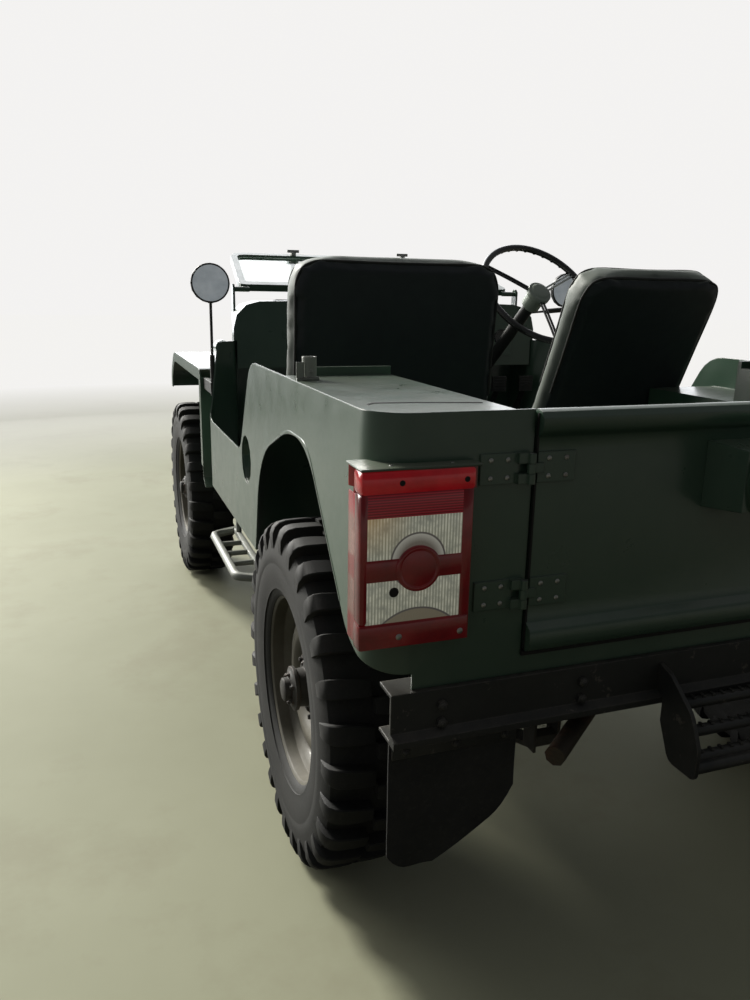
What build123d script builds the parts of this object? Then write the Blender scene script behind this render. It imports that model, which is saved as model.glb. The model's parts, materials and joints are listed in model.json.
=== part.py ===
from build123d import *
from math import asin, cos, pi, radians, sin, tan
import os

os.makedirs("parts", exist_ok=True)

# An open four-wheel-drive army car, in millimetres: +Z up, front towards -Y, left side +X.
# The origin is on the ground, under the middle of the car's length.

# Running gear
wheelbase = 2032
wheel_centre_x = 655
tyre_radius = 385
rear_axle_y = 976
front_axle_y = rear_axle_y - wheelbase
running_gap = 0.7
seat_gap = 0.3

# Flat sides of a bar, of a turned piece, of a lamp and of a wheel's rim
bar_sides = 8
turned_sides = 12
lamp_sides = 16
rim_sides = 16
pad_bends = 2

# Tyre and lugs
lug_count = 28
lug_share = 0.56
lug_depth = 27
lug_reach = 40
shoulder_drop = 10
tyre_half_width = 95
rim_seat_radius = 206
bead_radius = rim_seat_radius + seat_gap
bead_half_width = 64
bead_flare = 56

# Steel wheel and brake drum
rim_wall = 6
stud_circle = 139.7
stud_count = 5
stud_radius = 6.35
rim_lip_radius = 223
rim_half_width = 78
disc_face_x = 672
hub_end_x = 748
drum_mouth_x = 613
drum_radius = 142
drum_wall = 5
hub_radius = 50
spindle_radius = 24
spindle_reach = 150
brake_plate_radius = drum_radius - drum_wall - 2

# Tub
sheet = 4
tub_half_width = 725
tub_rear_y = rear_axle_y + 522
tub_top_z = 1085
sill_top_z = 826
sill_z = 594
rear_skirt_z = 630
corner_radius = 70
front_floor_z = 600
rear_floor_z = 665
wheelhouse_x = 490
wheelhouse_front_y = rear_axle_y - 392
deck_front_y = rear_axle_y - 50
shelf_z = 995
deck_lip = 18

# Tailgate
gate_half_width = 448
gate_gap = 5
gate_bottom_z = 674
gate_lip = 14
hinge_x = 462
hinge_radius = 7
hinge_height = 50
hinge_levels = (755, 967)

# Cowl, dash and hood
door_front_y = rear_axle_y - 1185
dash_y = rear_axle_y - 1310
firewall_y = rear_axle_y - 1450
dash_half_width = 605
firewall_half_width = 592
cowl_top_z = 1235
cowl_shoulder = 95
dash_bottom_z = 985
toe_board_top_z = 780
toe_board_foot_y = firewall_y + 210
grille_y = front_axle_y - 300
grille_half_width = 372
grille_top_z = 1190
grille_bottom_z = 590
grille_depth = 36
grille_slots = 8
slot_width = 24
slot_pitch = 40
hood_rear_half_width = 500
hood_front_half_width = 366
hood_side_z = 984
hood_shoulder = 80
hood_gap = 5
headlamp_x = 262
headlamp_z = 930
headlamp_radius = 88

# Front fenders
fender_top_z = 976
fender_setback = 3
fender_outer_x = tub_half_width - fender_setback
fender_inner_x = 386
fender_rear_y = rear_axle_y - 1410
fender_front_y = front_axle_y - 430
fender_flange = 42
fender_foot_z = 566
fender_tip_z = 800
apron_bottom_z = 545
apron_rear_bottom_z = 640

# Chassis
rail_outer_x = 371
rail_width = 60
rail_depth = 96
rail_wall = 6
rail_front_top_z = 570
rail_rear_top_z = 637
kick_start_y = rear_axle_y - 420
kick_end_y = rear_axle_y - 220
frame_front_y = front_axle_y - 520
frame_rear_y = tub_rear_y - 44
bumper_front_y = front_axle_y - 570
bumper_front_half_width = 660

# Axles and springs
axle_tube_radius = 38
diff_x = -170
diff_radius = 112
pinion_reach = 215
spring_x = 341
spring_width = 46
spring_half_span = 430
spring_rise = 84
leaf_thickness = 9
spring_pad = 5
spring_eye_radius = 16
# From the seat under the axle to the ends of the shortest and the longest leaf
leaf_reaches = (55, 150, 240, 330, spring_half_span)

# Steering
kingpin_x = 540
ball_radius = 56
knuckle_wall = 10
kingpin_radius = 26
tie_arm_inset = 40
tie_arm_length = 135
tie_rod_drop = 93
tie_rod_z = tyre_radius - tie_rod_drop
drag_arm_length = 139
drag_link_rise = 70
drag_link_z = tyre_radius + drag_link_rise
drag_link_length = 330
arm_thickness = 14
rod_radius = 11
rod_end_radius = 14
pitman_x = -381
pitman_thickness = 10
steering_wheel_radius = 214
steering_rim_radius = 13
wheel_hub_depth = 66
steering_wheel_centre = Vector(-412, 26, 1268)
lever_drop = 40
lever_length = 165
pedal_places = (-300, -440, -560)
pedal_z = 915
instrument_x = -412

# Windscreen, folded forward on its rests
screen_pivot_y = firewall_y + 12
screen_pivot_z = 1264
screen_tilt = 17
screen_length = 470
screen_side_gap = 45
screen_half_width = dash_half_width - screen_side_gap
screen_tube = 13
pivot_pin_reach = 22
pivot_pin_radius = 9
pivot_plate = 8

# Rear fittings
bumper_half_width = 690
bumper_rear_top_z = 630
bumper_rear_height = 78
carrier_depth = 112
lamp_depth = 28
lamp_inner_x = 565
lamp_bottom_z = 720
lamp_height = 285
lamp_lip = 34
step_z = 430
step_width = 85
step_overhang = 10
filler_y = rear_axle_y - 500
filler_z = 816
filler_radius = 66
filler_depth = 44
mirror_z = 1282
mirror_radius = 66


def block(x0, x1, y0, y1, z0, z1, mode=Mode.ADD):
    """A box given by its limits, in the open part."""
    with Locations(((x0 + x1) / 2, (y0 + y1) / 2, (z0 + z1) / 2)):
        Box(abs(x1 - x0), abs(y1 - y0), abs(z1 - z0), mode=mode)


def rounded(points, radii, chords):
    """The points of an outline, each round corner drawn as a number of chords."""
    made = []
    for i, (point, radius) in enumerate(zip(points, radii)):
        corner = Vector(*point)
        if not radius:
            made.append(corner)
            continue
        back = (Vector(*points[i - 1]) - corner).normalized()
        ahead = (Vector(*points[(i + 1) % len(points)]) - corner).normalized()
        half_turn = radians(back.get_angle(ahead)) / 2
        centre = corner + (back + ahead).normalized() * (radius / sin(half_turn))
        start = corner + back * (radius / tan(half_turn)) - centre
        end = corner + ahead * (radius / tan(half_turn)) - centre
        sweep_angle = pi - 2 * half_turn
        for k in range(chords + 1):
            share = k / chords
            weight = sin((1 - share) * sweep_angle), sin(share * sweep_angle)
            made.append(centre + (start * weight[0] + end * weight[1]) / sin(sweep_angle))
    return made


def outline(plane, points, radii=0, inset=0, chords=0):
    """A closed outline with round corners, as arcs or as chords, moved inwards by inset."""
    with BuildSketch(plane) as drawn:
        with BuildLine():
            if chords:
                Polyline(*rounded(points, radii, chords), close=True)
            elif radii:
                FilletPolyline(*points, radius=radii, close=True)
            else:
                Polyline(*points, close=True)
        make_face()
        if inset:
            offset(amount=-inset, kind=Kind.INTERSECTION, mode=Mode.REPLACE)
    return drawn.sketch


def side_plane(x):
    """Sketch x is the car's +Y, sketch y is up, and it is extruded towards +X."""
    return Plane(origin=(x, 0, 0), x_dir=(0, 1, 0), z_dir=(1, 0, 0))


def cross_plane(y):
    """Sketch x is the car's -X, sketch y is up, and it is extruded towards +Y."""
    return Plane(origin=(0, y, 0), x_dir=(-1, 0, 0), z_dir=(0, 1, 0))


def rod(start, end, radius, mode=Mode.ADD):
    """A round bar from one point to another, in the open part."""
    along = Vector(*end) - Vector(*start)
    with BuildSketch(Plane(origin=start, z_dir=along)) as section:
        Circle(radius)
    extrude(section.sketch, amount=along.length, mode=mode)


def bar(start, end, radius, sides=bar_sides, mode=Mode.ADD):
    """A flat-sided bar from one point to another, in the open part."""
    along = Vector(*end) - Vector(*start)
    with BuildSketch(Plane(origin=start, z_dir=along)) as section:
        RegularPolygon(radius, sides)
    extrude(section.sketch, amount=along.length, mode=mode)


def tube_path(points, radii, radius, sides=bar_sides):
    """A bent flat-sided bar along straight runs, each bend in two steps, in the open part."""
    with BuildLine() as path:
        Polyline(*rounded(points, radii, 2))
    with BuildSketch(Plane(origin=path.line @ 0, z_dir=path.line % 0)) as section:
        RegularPolygon(radius, sides)
    sweep(section.sketch, path=path.line, transition=Transition.RIGHT)


def turned(plane, stations, sides, mode=Mode.ADD):
    """A flat-sided turned piece about the plane's normal: its stations are height and radius."""
    rings = []
    for height, radius in stations:
        with BuildSketch(plane.offset(height)) as ring:
            RegularPolygon(radius, sides)
        rings.append(ring.sketch)
    with BuildPart(mode=Mode.PRIVATE) as made:
        loft(rings, ruled=True)
    add(made.part, mode=mode)


def round_corner(x, z, radius, steps=3):
    """Points of a quarter turn that rises to its top at x - radius, for a sheet's shoulder."""
    points = []
    for k in range(steps + 1):
        angle = radians(90 * k / steps)
        points.append((x - radius + radius * cos(angle), z - radius + radius * sin(angle)))
    return points


def shoulder_outline(plane, half_width, low_z, top_z, crown_z, radius):
    """An upright outline with a round shoulder on each side and a crowned top."""
    right = round_corner(half_width, top_z, radius)
    left = [(-x, z) for x, z in reversed(right)]
    crown = [(0, crown_z)] if crown_z > top_z else []
    return outline(plane, [(-half_width, low_z), (half_width, low_z)] + right + crown + left)


def finish(piece, name):
    """Label a finished piece and write it."""
    piece.part.label = name
    export_step(piece.part, f"parts/{name}.step")


# The tub seen from above: x, y and corner radius of its left half
plan_corners = [
    (tub_half_width, tub_rear_y, corner_radius),
    (tub_half_width, door_front_y, 90),
    (dash_half_width, dash_y, 90),
    (firewall_half_width, firewall_y, 0),
]

# The tub seen from the side: y, z and corner radius, with the low door opening
side_corners = [
    (tub_rear_y + 20, rear_skirt_z, 0),
    (tub_rear_y + 20, tub_top_z, 0),
    (rear_axle_y - 425, tub_top_z, 110),
    (rear_axle_y - 588, sill_top_z, 70),
    (door_front_y, sill_top_z, 90),
    (door_front_y - 45, tub_top_z, 0),
    (firewall_y - 20, tub_top_z, 0),
    (firewall_y - 20, sill_z, 0),
    (rear_axle_y, sill_z, 0),
    (rear_axle_y, rear_skirt_z, 0),
]

# Rear wheel arch: y from the axle, z and corner radius
arch_corners = [
    (-390, sill_z - 60, 0),
    (-388, sill_z, 0),
    (-318, 866, 120),
    (-20, 972, 200),
    (140, 972, 120),
    (400, 690, 110),
    (610, 636, 0),
    (610, sill_z - 60, 0),
]


def tub_plan(z, inset=0):
    """The tub seen from above, with round rear corners and the sides drawn in at the cowl."""
    corners = plan_corners + [(-x, y, r) for x, y, r in reversed(plan_corners)]
    return outline(
        Plane.XY.offset(z), [(x, y) for x, y, r in corners], [r for x, y, r in corners], inset
    )


def tub():
    width = tub_half_width + 10
    with BuildPart() as body:
        extrude(tub_plan(sill_z), amount=tub_top_z - sill_z)
        side = outline(
            side_plane(-width), [(y, z) for y, z, r in side_corners],
            [r for y, z, r in side_corners], chords=4,
        )
        extrude(side, amount=2 * width, mode=Mode.INTERSECT)

        # Space for the crew and the load, between the two wheelhouses
        with BuildPart(mode=Mode.PRIVATE) as space:
            extrude(tub_plan(front_floor_z, sheet), amount=tub_top_z)
            for s in (1, -1):
                inner = s * (wheelhouse_x - sheet)
                block(inner, s * width, wheelhouse_front_y - sheet, tub_rear_y, 0, shelf_z, Mode.SUBTRACT)
                block(inner, s * width, deck_front_y - sheet, tub_rear_y, 0, tub_top_z, Mode.SUBTRACT)
            block(-width, width, wheelhouse_front_y - sheet, tub_rear_y, 0, rear_floor_z, Mode.SUBTRACT)
        add(space.part, mode=Mode.SUBTRACT)

        # Open underside behind the step in the floor, and the spaces above the wheels
        with BuildPart(mode=Mode.PRIVATE) as below:
            extrude(tub_plan(0, sheet), amount=tub_top_z - sheet)
            block(-width, width, firewall_y - 50, wheelhouse_front_y, 0, tub_top_z, Mode.SUBTRACT)
            block(
                -wheelhouse_x, wheelhouse_x, wheelhouse_front_y - 50, tub_rear_y,
                rear_floor_z - sheet, tub_top_z, Mode.SUBTRACT,
            )
            for s in (1, -1):
                block(
                    s * wheelhouse_x, s * width, wheelhouse_front_y - 50, deck_front_y,
                    shelf_z - sheet, tub_top_z, Mode.SUBTRACT,
                )
        add(below.part, mode=Mode.SUBTRACT)

        # Wheel arches, through the sides and the rear corners
        points = [(rear_axle_y + y, z) for y, z, r in arch_corners]
        radii = [r for y, z, r in arch_corners]
        depth = corner_radius + 14
        for x in (-width, width - depth):
            extrude(
                outline(side_plane(x), points, radii, chords=4), amount=depth, mode=Mode.SUBTRACT
            )

        # Sloping toe board, and the steering column's hole in the firewall
        inside = firewall_half_width - sheet - 1
        extrude(
            outline(
                side_plane(-inside),
                [
                    (firewall_y + sheet, toe_board_top_z),
                    (firewall_y + sheet, toe_board_top_z - 6),
                    (toe_board_foot_y - 6, front_floor_z),
                    (toe_board_foot_y, front_floor_z),
                ],
            ),
            amount=2 * inside,
        )
        rod(column_point(firewall_y - 40), column_point(firewall_y + 60), 30, Mode.SUBTRACT)

        # Opening of the tailgate
        opening = gate_half_width + gate_gap
        block(
            -opening, opening, tub_rear_y - 30, tub_rear_y + 5, rear_floor_z, tub_top_z + 5,
            Mode.SUBTRACT,
        )
        # Fixed leaves and outer barrels of the tailgate's hinges
        third = hinge_height / 3
        for level in hinge_levels:
            block(
                hinge_x + 18, hinge_x + 86, tub_rear_y, tub_rear_y + sheet, level, level + hinge_height
            )
            for low in (level, level + 2 * third):
                block(hinge_x, hinge_x + 22, tub_rear_y, hinge_y(), low, low + third)
                bar(
                    (hinge_x, hinge_y(), low), (hinge_x, hinge_y(), low + third), hinge_radius + 0.5,
                    bar_sides,
                )
        # Hole of the fuel filler, in the left side
        bar((tub_half_width - 10, filler_y, filler_z), (tub_half_width + 10, filler_y, filler_z),
            filler_radius, turned_sides, Mode.SUBTRACT)
        # Raised lip along the front edge of each deck
        for s in (1, -1):
            block(
                s * (wheelhouse_x - sheet), s * (tub_half_width - 40), deck_front_y - sheet,
                deck_front_y + 8, tub_top_z, tub_top_z + deck_lip,
            )
    return body


def filler():
    """Fuel filler in the tub's left side: a dished recess with its cap inside."""
    plane = Plane(
        origin=(tub_half_width - sheet - seat_gap, filler_y, filler_z), x_dir=(0, 1, 0),
        z_dir=(-1, 0, 0),
    )
    with BuildPart() as body:
        turned(plane, [(0, filler_radius + 14), (filler_depth, filler_radius + 2)], turned_sides)
        turned(
            plane, [(-1, filler_radius), (filler_depth - sheet, filler_radius - 8)], turned_sides,
            Mode.SUBTRACT,
        )
        turned(
            plane, [(filler_depth - sheet - 24, 34), (filler_depth - sheet + 1, 36)], turned_sides
        )
        block(
            tub_half_width - filler_depth + 18, tub_half_width - filler_depth + 30,
            filler_y - 6, filler_y + 6, filler_z - 30, filler_z + 30,
        )
    return body


def cowl():
    """Hollow cowl top with round shoulders, and the dash panel below it."""
    with BuildPart() as body:
        # The cap above the tub's sides, with round shoulders, hollow and open towards the rear
        extrude(
            shoulder_outline(
                cross_plane(firewall_y), dash_half_width + 5, tub_top_z, cowl_top_z - 12, cowl_top_z,
                cowl_shoulder,
            ),
            amount=dash_y - firewall_y,
        )
        extrude(tub_plan(tub_top_z), amount=cowl_top_z, mode=Mode.INTERSECT)
        with BuildPart(mode=Mode.PRIVATE) as space:
            extrude(
                shoulder_outline(
                    cross_plane(firewall_y + sheet), dash_half_width, tub_top_z - 10,
                    cowl_top_z - 12 - sheet, cowl_top_z - sheet, cowl_shoulder,
                ),
                amount=dash_y - firewall_y - 2 * sheet,
            )
            extrude(tub_plan(0, sheet), amount=cowl_top_z, mode=Mode.INTERSECT)
        add(space.part, mode=Mode.SUBTRACT)

        # Dash panel below the cap, with a raised instrument panel on the driver's side
        inside = dash_half_width - sheet - 2
        block(-inside, inside, dash_y - sheet, dash_y, dash_bottom_z, tub_top_z)
        block(
            instrument_x - 95, instrument_x + 95, dash_y - sheet, dash_y + 10,
            dash_bottom_z + 40, tub_top_z + 60,
        )

        # Plates that carry the windscreen's pins
        near_x = screen_half_width + pivot_pin_reach + seat_gap
        for x in (near_x, -near_x - pivot_plate):
            plate = outline(
                side_plane(x),
                [
                    (screen_pivot_y - 18, tub_top_z + 20), (screen_pivot_y + 18, tub_top_z + 20),
                    (screen_pivot_y + 18, screen_pivot_z + 6), (screen_pivot_y + 7, screen_pivot_z + 18),
                    (screen_pivot_y - 7, screen_pivot_z + 18), (screen_pivot_y - 18, screen_pivot_z + 6),
                ],
            )
            extrude(plate, amount=pivot_plate)
    return body


def column_foot():
    """Where the steering column leaves its box on the right rail."""
    return Vector(-335, front_axle_y + drag_link_length + 20, 606)


def column_point(y):
    """The point of the steering column's axis at a given y."""
    foot = column_foot()
    along = steering_wheel_centre - foot
    return foot + along * ((y - foot.Y) / along.Y)


def hood_section(y, half_width, top_z, inset):
    """Half-open hood section: flat top with round shoulders and upright sides."""
    return shoulder_outline(
        cross_plane(y), half_width - inset, hood_side_z - (2 if inset else 0), top_z - inset,
        top_z - inset, hood_shoulder - inset,
    )


def hood():
    front_y = grille_y + grille_depth + hood_gap
    rear_y = firewall_y - hood_gap
    with BuildPart() as body:
        loft([
            hood_section(rear_y, hood_rear_half_width, cowl_top_z - 6, 0),
            hood_section(front_y, hood_front_half_width, hood_front_z(), 0),
        ], ruled=True)
        with BuildPart(mode=Mode.PRIVATE) as space:
            loft([
                hood_section(rear_y + 1, hood_rear_half_width, cowl_top_z - 6, sheet),
                hood_section(front_y - 1, hood_front_half_width, hood_front_z(), sheet),
            ], ruled=True)
        add(space.part, mode=Mode.SUBTRACT)
    return body


def hood_front_z():
    return grille_top_z + 8


def grille():
    with BuildPart() as body:
        extrude(
            shoulder_outline(
                cross_plane(grille_y), grille_half_width, grille_bottom_z, grille_top_z, grille_top_z,
                hood_shoulder,
            ),
            amount=grille_depth,
        )
        extrude(
            shoulder_outline(
                cross_plane(grille_y + sheet), grille_half_width - sheet, grille_bottom_z + sheet,
                grille_top_z - sheet, grille_top_z - sheet, hood_shoulder - sheet,
            ),
            amount=grille_depth, mode=Mode.SUBTRACT,
        )
        # Upright slots between the lamps, with cut corners, and the lamps' own openings
        slot_height = grille_top_z - grille_bottom_z - 150
        with BuildSketch(cross_plane(grille_y - 1)) as slots:
            with Locations((0, (grille_top_z + grille_bottom_z) / 2)):
                with GridLocations(slot_pitch, 1, grille_slots, 1):
                    with BuildSketch(mode=Mode.PRIVATE) as one:
                        Rectangle(slot_width, slot_height)
                        chamfer(one.vertices(), slot_width / 3)
                    add(one.sketch)
            with Locations((headlamp_x, headlamp_z), (-headlamp_x, headlamp_z)):
                RegularPolygon(headlamp_radius, lamp_sides)
        extrude(slots.sketch, amount=sheet + 2, mode=Mode.SUBTRACT)
    return body


def headlamps():
    """Sealed lamps in the grille's openings, with a domed lens and a rim."""
    with BuildPart() as body:
        for s in (1, -1):
            plane = Plane(
                origin=(s * headlamp_x, grille_y, headlamp_z), x_dir=(-1, 0, 0), z_dir=(0, -1, 0)
            )
            turned(
                plane,
                [(seat_gap, headlamp_radius + 9), (12, headlamp_radius + 9), (14, 78), (22, 42)],
                lamp_sides,
            )
            turned(
                plane,
                [(-70, 56), (-20, headlamp_radius - 10), (1, headlamp_radius - 1)], lamp_sides,
            )
    return body


def front_fenders():
    """Flat-topped fenders with a turned-down outer edge, a rear drop and an inner apron."""
    silhouette = [
        (fender_rear_y, fender_foot_z),
        (fender_rear_y, fender_top_z),
        (front_axle_y - 300, fender_top_z),
        (fender_front_y, fender_top_z - 110),
        (fender_front_y, fender_foot_z),
    ]
    radii = [0, 45, 160, 60, 0]
    reach = fender_outer_x - fender_inner_x
    with BuildPart() as body:
        extrude(outline(side_plane(fender_inner_x), silhouette, radii, chords=3), amount=reach)
        extrude(
            outline(side_plane(fender_inner_x), silhouette, radii, sheet, chords=3),
            amount=reach - sheet, mode=Mode.SUBTRACT,
        )
        extrude(
            outline(side_plane(fender_inner_x), silhouette, radii, fender_flange, chords=3),
            amount=reach + 1, mode=Mode.SUBTRACT,
        )
        # The lower edge is open, and the front edge ends higher than the rear one
        block(
            fender_inner_x - 1, fender_outer_x + 1, fender_front_y + fender_flange + 1,
            fender_rear_y - fender_flange - 1, fender_foot_z - 5, fender_top_z - 150, Mode.SUBTRACT,
        )
        block(
            fender_inner_x - 1, fender_outer_x + 1, fender_front_y - 5,
            front_axle_y, fender_foot_z - 5, fender_tip_z, Mode.SUBTRACT,
        )
        block(
            fender_inner_x - 1, fender_outer_x + 1, front_axle_y,
            fender_rear_y - sheet, fender_foot_z - 5, fender_foot_z + fender_flange + 1, Mode.SUBTRACT,
        )
        block(
            fender_inner_x - 1, fender_outer_x - sheet, front_axle_y,
            fender_rear_y - sheet, fender_foot_z - 5, fender_top_z - sheet, Mode.SUBTRACT,
        )
        # Curved foot of the rear drop, turned rearwards
        extrude(
            outline(
                side_plane(dash_half_width - 20),
                [
                    (fender_rear_y - sheet, fender_foot_z + 8),
                    (fender_rear_y, fender_foot_z + 8),
                    (fender_rear_y, fender_foot_z),
                    (fender_rear_y + 46, fender_foot_z - 26),
                    (fender_rear_y + 46, fender_foot_z - 30),
                    (fender_rear_y - sheet, fender_foot_z - sheet),
                ],
            ),
            amount=fender_outer_x - dash_half_width + 20,
        )
        # Apron beside the engine, higher where the steering gear passes
        apron = outline(
            side_plane(fender_inner_x - sheet),
            [
                (grille_y + grille_depth, fender_top_z),
                (grille_y + grille_depth, apron_bottom_z),
                (front_axle_y + 150, apron_bottom_z),
                (front_axle_y + 250, apron_rear_bottom_z),
                (firewall_y, apron_rear_bottom_z),
                (firewall_y, fender_top_z),
            ],
        )
        extrude(apron, amount=sheet)
        # Room for the tub's cowl end
        extrude(tub_plan(0, -seat_gap), amount=tub_top_z, mode=Mode.SUBTRACT)
        mirror(about=Plane.YZ)
    return body


def rail_points(margin):
    """A rail seen from the side, moved inwards by margin."""
    top = [
        (frame_front_y + margin, rail_front_top_z), (kick_start_y, rail_front_top_z),
        (kick_end_y, rail_rear_top_z), (frame_rear_y - margin, rail_rear_top_z),
    ]
    lower = [(y, z - rail_depth + margin) for y, z in reversed(top)]
    return [(y, z - margin) for y, z in top] + lower


def chassis_frame():
    """Two channel rails that rise over the rear axle, with crossmembers and body mounts."""
    rail_inner_x = rail_outer_x - rail_width
    # Crossmembers: y, z of the middle, length along the car and height
    crossmembers = [
        (frame_front_y + 40, rail_front_top_z - rail_depth / 2, 50, 70),
        (grille_y + 17, rail_front_top_z - 25, 40, 40),
        (front_axle_y - 180, rail_front_top_z - 40, 50, 60),
        (front_axle_y + 1120, rail_front_top_z - 35, 60, 50),
        (rear_axle_y - 560, rail_front_top_z - 50, 60, 60),
        (kick_end_y + 20, rail_rear_top_z - rail_depth / 2, 50, 70),
        (frame_rear_y - 25, rail_rear_top_z - rail_depth / 2, 50, 80),
    ]
    # Body mounts: y, top of the rail and underside of the floor
    mounts = [
        (firewall_y + 60, rail_front_top_z, sill_z),
        (rear_axle_y - 700, rail_front_top_z, sill_z),
        (kick_end_y + 60, rail_rear_top_z, rear_floor_z - sheet),
        (frame_rear_y - 60, rail_rear_top_z, rear_floor_z - sheet),
    ]
    with BuildPart() as body:
        for s in (1, -1):
            start = rail_inner_x if s > 0 else -rail_outer_x
            pocket = rail_inner_x if s > 0 else -rail_outer_x + rail_wall
            extrude(outline(side_plane(start), rail_points(0)), amount=rail_width)
            extrude(
                outline(side_plane(pocket), rail_points(rail_wall)),
                amount=rail_width - rail_wall, mode=Mode.SUBTRACT,
            )
        reach = rail_outer_x - rail_wall
        for y, z, length, height in crossmembers:
            block(-reach, reach, y - length / 2, y + length / 2, z - height / 2, z + height / 2)
        for y, bottom, top in mounts:
            for s in (1, -1):
                block(s * spring_x - 22, s * spring_x + 22, y - 22, y + 22, bottom, top)
        # Pedestal under the grille
        block(-90, 90, grille_y + 2, grille_y + 32, rail_front_top_z - 20, grille_bottom_z)
    return body


def rail_bottom_z(y):
    """Underside of the rails at a given y."""
    share = (y - kick_start_y) / (kick_end_y - kick_start_y)
    rise = min(1, max(0, share)) * (rail_rear_top_z - rail_front_top_z)
    return rail_front_top_z + rise - rail_depth


def spring_shape():
    """Radius and centre height of the main leaf's upper face."""
    radius = (spring_half_span**2 + spring_rise**2) / (2 * spring_rise)
    return radius, spring_top_z() + radius


def spring_top_z():
    return tyre_radius - axle_tube_radius - spring_pad


def leaf_stack(plane, axle_y):
    """Four leaves seen from the side, in chords: each lower one is shorter."""
    radius, centre_z = spring_shape()
    right = [(reach, 0) for reach in leaf_reaches]
    for layer, reach in enumerate(reversed(leaf_reaches[1:])):
        if layer:
            right.append((reach, layer))
        right.append((reach, layer + 1))
    right.append((leaf_reaches[0], len(leaf_reaches) - 1))
    points = []
    for side, half in ((1, right), (-1, right[::-1])):
        for reach, layer in half:
            angle = side * asin(reach / radius)
            depth = radius + layer * leaf_thickness
            points.append((axle_y + depth * sin(angle), centre_z - depth * cos(angle)))
    return outline(plane, points)


def leaf_springs():
    """Four stacks of curved leaves under the axles, with eyes, shackles and hangers."""
    eye_z = spring_top_z() + spring_rise + spring_eye_radius - 2
    with BuildPart() as body:
        for axle_y in (front_axle_y, rear_axle_y):
            for s in (1, -1):
                x0 = s * spring_x - spring_width / 2
                extrude(leaf_stack(side_plane(x0), axle_y), amount=spring_width)
                for end in (1, -1):
                    y = axle_y + end * (spring_half_span + 4)
                    bar((x0, y, eye_z), (x0 + spring_width, y, eye_z), spring_eye_radius, 6)
                    # Hanger plates outside the eye, up to the rail
                    for side in (x0 - 5, x0 + spring_width):
                        block(side, side + 5, y - 20, y + 20, eye_z - 20, rail_bottom_z(y - 20))
    return body


def axle_core(axle_y, pinion_towards, reach, end_radius):
    """Axle tubes, differential housing, cover and pinion nose, in the open part."""
    across = Plane(origin=(0, axle_y, tyre_radius), x_dir=(0, 1, 0), z_dir=(1, 0, 0))
    turned(across, [(-reach, axle_tube_radius), (reach, axle_tube_radius)], turned_sides)
    far = diff_radius
    turned(
        across,
        [
            (diff_x - far, axle_tube_radius - 1), (diff_x - 0.4 * far, far),
            (diff_x + 0.4 * far, far), (diff_x + far, axle_tube_radius - 1),
        ],
        turned_sides,
    )
    if end_radius:
        near, half = 0.38 * end_radius, 0.92 * end_radius
        for s in (1, -1):
            turned(
                across,
                [
                    (s * reach - half, near), (s * reach - near, half), (s * reach + near, half),
                    (s * reach + half, near),
                ],
                turned_sides,
            )
    nose = axle_y + pinion_towards * pinion_reach
    neck = Plane(origin=(diff_x, axle_y, tyre_radius), x_dir=(1, 0, 0), z_dir=(0, pinion_towards, 0))
    turned(neck, [(0, 80), (pinion_reach - 20, 36)], turned_sides)
    bar(
        (diff_x, nose - pinion_towards * 22, tyre_radius), (diff_x, nose, tyre_radius), 46,
        turned_sides,
    )
    for s in (1, -1):
        block(
            s * spring_x - spring_width / 2, s * spring_x + spring_width / 2,
            axle_y - 55, axle_y + 55, spring_top_z() + 1.6, tyre_radius,
        )


def front_axle():
    with BuildPart() as body:
        axle_core(front_axle_y, 1, kingpin_x, ball_radius)
    return body


def rear_axle():
    with BuildPart() as body:
        axle_core(rear_axle_y, -1, 600, 0)
        for s in (1, -1):
            bar(
                (s * 592, rear_axle_y, tyre_radius), (s * 600, rear_axle_y, tyre_radius),
                brake_plate_radius, turned_sides,
            )
            rod(
                (s * 600, rear_axle_y, tyre_radius),
                (s * (kingpin_x + spindle_reach), rear_axle_y, tyre_radius), spindle_radius,
            )
    return body


def knuckle(s):
    """Steering knuckle around the axle's ball, with spindle, brake plate and arms."""
    x = s * kingpin_x
    hollow = ball_radius + running_gap
    wall = hollow + knuckle_wall
    plate_u = hollow + 2
    lower = tie_rod_z - rod_end_radius
    upper = drag_link_z + rod_end_radius + 1
    # Height is the distance outwards from the kingpin
    plane = Plane(origin=(x, front_axle_y, tyre_radius), x_dir=(0, 1, 0), z_dir=(s, 0, 0))
    with BuildPart() as body:
        turned(plane, [(-12, wall), (30, wall), (plate_u + 1, wall - 8)], turned_sides)
        bar(plane.from_local_coords((0, 0, plate_u)), plane.from_local_coords((0, 0, plate_u + 8)),
            brake_plate_radius, turned_sides)
        rod(plane.from_local_coords((0, 0, plate_u + 7)),
            plane.from_local_coords((0, 0, spindle_reach)), spindle_radius)
        turned(
            plane, [(-13, hollow + 1), (24, hollow + 1), (hollow + 1, 24)], turned_sides, Mode.SUBTRACT
        )
        # Kingpin caps above and below
        rod(
            (x, front_axle_y, tyre_radius + hollow + 3), (x, front_axle_y, upper), kingpin_radius
        )
        bar(
            (x, front_axle_y, lower), (x, front_axle_y, tyre_radius - hollow - 3), kingpin_radius,
            turned_sides,
        )
        # Tie rod arm under the knuckle, reaching back and inwards
        ball = (s * (kingpin_x - tie_arm_inset), front_axle_y + tie_arm_length)
        arm_outline((x, front_axle_y), ball, lower - arm_thickness, arm_thickness)
        if s < 0:
            arm_outline(
                (x, front_axle_y), (x + drag_arm_length, front_axle_y), upper, arm_thickness
            )
    return body


def arm_outline(start, end, z, thickness):
    """A flat arm from a wide end to a narrow one, in the open part."""
    with BuildSketch(Plane.XY.offset(z)) as flat:
        with Locations(start):
            RegularPolygon(kingpin_radius + 3, turned_sides)
        with Locations(end):
            RegularPolygon(rod_end_radius + 2, turned_sides)
        make_hull()
    extrude(flat.sketch, amount=thickness)


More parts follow.
